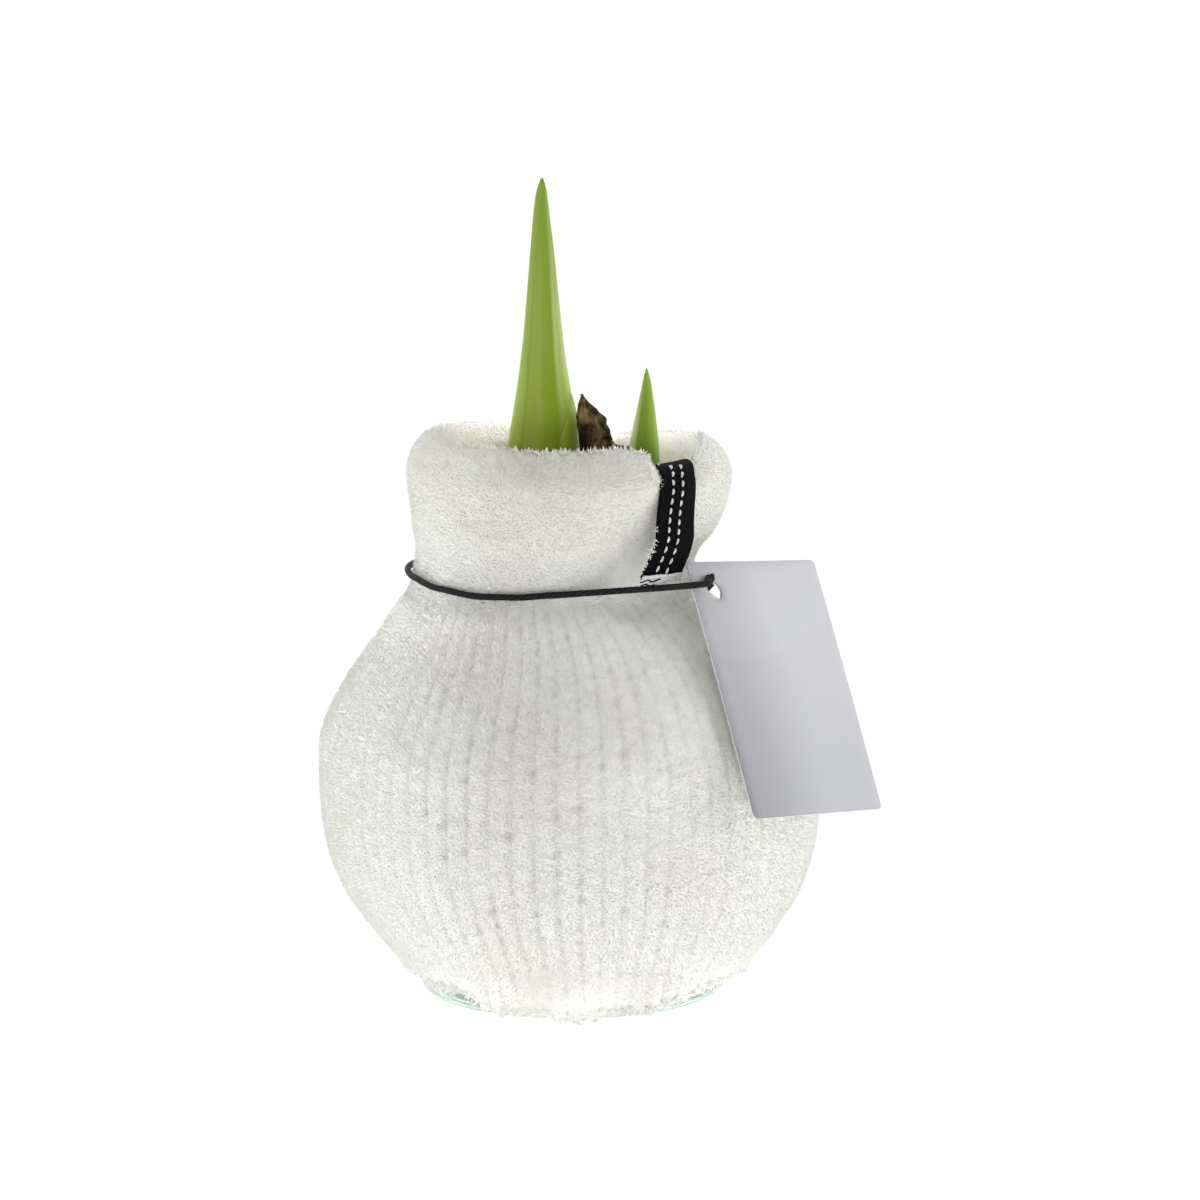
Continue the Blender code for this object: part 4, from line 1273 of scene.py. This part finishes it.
def ribbon_place(across, along, lift):
    """A place on the ribbon, from millimetres across it and along it, lifted off its face."""
    radius, height = ribbon_line(along)
    next_radius, next_height = ribbon_line(along + 0.5)
    ahead, fall = next_radius - radius, next_height - height
    steep = math.hypot(ahead, fall) or 1.0
    if along + 0.5 <= RIBBON_LENGTH:
        radius, height = radius - lift * fall / steep, height + lift * ahead / steep
    else:
        radius = radius + lift
        height = height - max(0.0, along - RIBBON_LENGTH)
    middle = table_value(RIBBON_COURSE, height) if radius > 40.0 else RIBBON_COURSE[-1][1]
    azimuth = math.radians(middle) + across / max(radius, 38.0)
    cup = 0.35 * (across / 7.5) ** 2 * math.sin(along * 0.2)
    over = ease(radius, 36.0, 44.0) * (1.0 - ease(abs(height - RIBBON_CREST), 2.0, 8.0))
    slant = 0.10 * across * over
    x = (radius + cup) * math.cos(azimuth) + sleeve_shift(max(height, 150.0))
    return Vector((x, (radius + cup) * math.sin(azimuth), height + slant)) * MM


def strip(name, material, width, start, end, lift, thickness, ragged=0.0, wave=0.0, across_shift=0.0):
    """A narrow woven strip laid along part of the ribbon's route."""
    rows, columns = max(4, round((end - start) / 0.8)), max(6, round(width / 1.2))
    bm = bmesh.new()
    bmesh.ops.create_grid(bm, x_segments=columns, y_segments=rows, size=0.5)
    layer = bm.loops.layers.uv.new("UVMap")
    flat = {}
    for vert in bm.verts:
        share = vert.co.y + 0.5
        across, along = vert.co.x * width + across_shift, start + share * (end - start)
        flat[vert] = (across * MM, along * MM)
        along += ragged * share**6 * math.sin(across * 1.9)
        vert.co = ribbon_place(across, along, lift + wave * math.sin(across * 0.9 + along))
    for face in bm.faces:
        for loop in face.loops:
            loop[layer].uv = flat[loop.vert]
    bmesh.ops.solidify(bm, geom=bm.faces, thickness=thickness * MM)
    faces_out(bm)
    piece = finished(bm, name, material)
    return piece


def make_fringe():
    """Two loose black threads under the ribbon's end, and the white tufts of its cut edge."""
    fringe = []
    for number, (start, end, drop, sway) in enumerate(LOOSE_THREADS):
        route = []
        for step in range(25):
            across = start + (end - start) * step / 24
            beyond = drop + sway * math.sin(across * 1.6 + number)
            route.append(ribbon_place(across, RIBBON_LENGTH + beyond, 0.95 - beyond * 0.15))
        line = finished(grown(tube_sections(route, 0.22 * MM, 8)), f"loose_thread_{number + 1}", BRAID)
        fringe.append(line)
    edge = strip(
        "ribbon_edge_ground", None, 1.1, 36.0, RIBBON_LENGTH - 0.5, 0.2, 0.2, across_shift=-7.5
    )
    float_attribute(edge.data, "pile", np.ones(len(edge.data.vertices)))
    fringe.append(pile_on(edge, "ribbon_edge_tufts", None, 1.5e6, 1.5, 0.26, 1.1, 97))
    bpy.data.objects.remove(edge)
    return fringe


def make_stitches():
    """White running stitches in two rows along the ribbon."""
    thread = thread_material()
    stitches = []
    for row, across in enumerate(STITCH_ROWS):
        for number in range(STITCHES):
            along = 18.0 + 2.75 * number + 0.8 * row
            bm = bmesh.new()
            bmesh.ops.create_uvsphere(bm, u_segments=10, v_segments=8, radius=1.0)
            for vert in bm.verts:
                x, y, z = vert.co
                bow = 0.30 + 0.22 * (1 - y**2)
                vert.co = ribbon_place(across + 0.42 * x, along + 0.95 * y, bow + 0.26 * z)
            faces_out(bm)
            stitch = finished(bm, f"running_stitch_{row + 1}_{number + 1}", thread)
            stitches.append(stitch)
    return stitches


def make_ribbon():
    length = RIBBON_LENGTH
    black = tape_material(
        "black_label_tape", 620.0, 0.00012, (0.001, 0.001, 0.0015), (0.006, 0.006, 0.0075),
        Specular_IOR_Level=0.07,
    )
    white = tape_material(
        "white_hem_tape", 420.0, 0.0002, (0.50, 0.50, 0.48), (0.72, 0.72, 0.70), Sheen_Weight=0.2
    )
    ribbon = strip("ribbon_label", black, RIBBON_WIDTH, 0.0, length, 0.0, 0.45, 0.5)
    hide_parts("label_ribbon")
    hem = strip(
        "ribbon_hem", white, RIBBON_WIDTH * 0.97, length - 1.2, length + 1.1, 0.7, 0.4, 0.4, wave=0.25
    )
    fringe = make_fringe()
    stitches = make_stitches()


# ---------------------------------------------------------------- camera, lights and floor
# Lights: name, place, what it points at, size, power in watts, and its spread in degrees.
LIGHTS = (
    ("left_panel", (-1.2, 0.1, 0.35), (0, 0, 0.08), (1.0, 0.7), 3.2, 180.0),
    ("right_panel", (1.2, 0.1, 0.35), (0, 0, 0.08), (1.0, 0.7), 4.6, 180.0),
    ("front_softbox", (0.1, -1.0, 1.3), (0, 0, 0.05), (0.9, 0.6), 0.22, 180.0),
    ("front_key", (-0.25, -1.3, 0.3), (0.02, -0.05, 0.1), (0.9, 0.6), 0.5, 180.0),
    ("low_front", (0.0, -0.9, 0.10), (0, 0, 0.03), (1.4, 0.18), 0.35, 180.0),
    ("tag_side_fill", (-0.42, -1.15, 0.22), (0.047, -0.05, 0.117), (0.05, 0.05), 0.0055, 4.2),
    ("hem_fill", (0.0, -1.2, 0.045), (0.0, -0.05, 0.002), (0.12, 0.014), 0.0052, 1.6),
    ("mouth_light", (0.0, 0.02, 1.0), (0, 0.02, 0.16), (0.08, 0.08), 0.019, 6.0),
)
CAMERA_TARGET = Vector((0.0084, 0.0, 0.1186))
CAMERA_DISTANCE = 1.400
CAMERA_PITCH = math.radians(8.5)
LENS = 140.0
SENSOR_WIDTH = 36.0


def make_floor():
    bpy.ops.mesh.primitive_plane_add(size=8.0, location=(0, 0, 0))
    floor = bpy.context.object
    floor.name = "floor"
    f = Finish("lit_white_table", Roughness=0.8, Emission_Strength=0.92)
    tone = f.drift(3.0, (0.65, 0.65, 0.65), (0.67, 0.67, 0.67))
    glow = f.ramp(f.maths("MULTIPLY_ADD", f.axes()["Y"], 5.0, 0.5), [(0.3, 1.0), (0.85, 0.25)])
    floor.data.materials.append(f.finish(Base_Color=tone, Emission_Color=glow))


def make_world():
    """White all round, brighter behind the part than in front of it."""
    world = bpy.data.worlds.new("studio")
    bpy.context.scene.world = world
    world.use_nodes = True
    nodes = Nodes(world.node_tree)
    way = nodes.node("ShaderNodeTexCoord").outputs["Generated"]
    bright = nodes.node(
        "ShaderNodeMapRange", {"interpolation_type": "SMOOTHSTEP"},
        Value=nodes.node("ShaderNodeSeparateXYZ", Vector=way).outputs["Y"],
        From_Min=-0.72, From_Max=0.4, To_Min=0.25, To_Max=1.68,
    )
    background = world.node_tree.nodes["Background"]
    nodes.feed(bright.outputs["Result"], background.inputs["Strength"])
    nodes.feed((1.0, 1.0, 1.0), background.inputs["Color"])


def make_lights():
    for name, place, aim, size, power, spread in LIGHTS:
        data = bpy.data.lights.new(name, "AREA")
        data.shape = "RECTANGLE"
        data.size, data.size_y = size
        data.energy = power
        data.spread = math.radians(spread)
        light = linked(name, data)
        light.location = place
        light.rotation_euler = (Vector(aim) - Vector(place)).to_track_quat("-Z", "Y").to_euler()


def make_camera():
    data = bpy.data.cameras.new("camera")
    data.lens = LENS
    data.sensor_width = SENSOR_WIDTH
    data.clip_start = 0.05
    camera = linked("camera", data)
    back = Vector((0.0, -math.cos(CAMERA_PITCH), math.sin(CAMERA_PITCH)))
    camera.location = CAMERA_TARGET + back * CAMERA_DISTANCE
    camera.rotation_euler = Euler((math.pi / 2 - CAMERA_PITCH, 0.0, 0.0))
    bpy.context.scene.camera = camera


make_floor()
make_world()
make_lights()
make_camera()
make_vase()
make_sleeve()
make_bulb()
make_shoots()
make_scales()
make_tag()
make_elastic()
make_ribbon()
bpy.context.scene.view_settings.view_transform = "Standard"
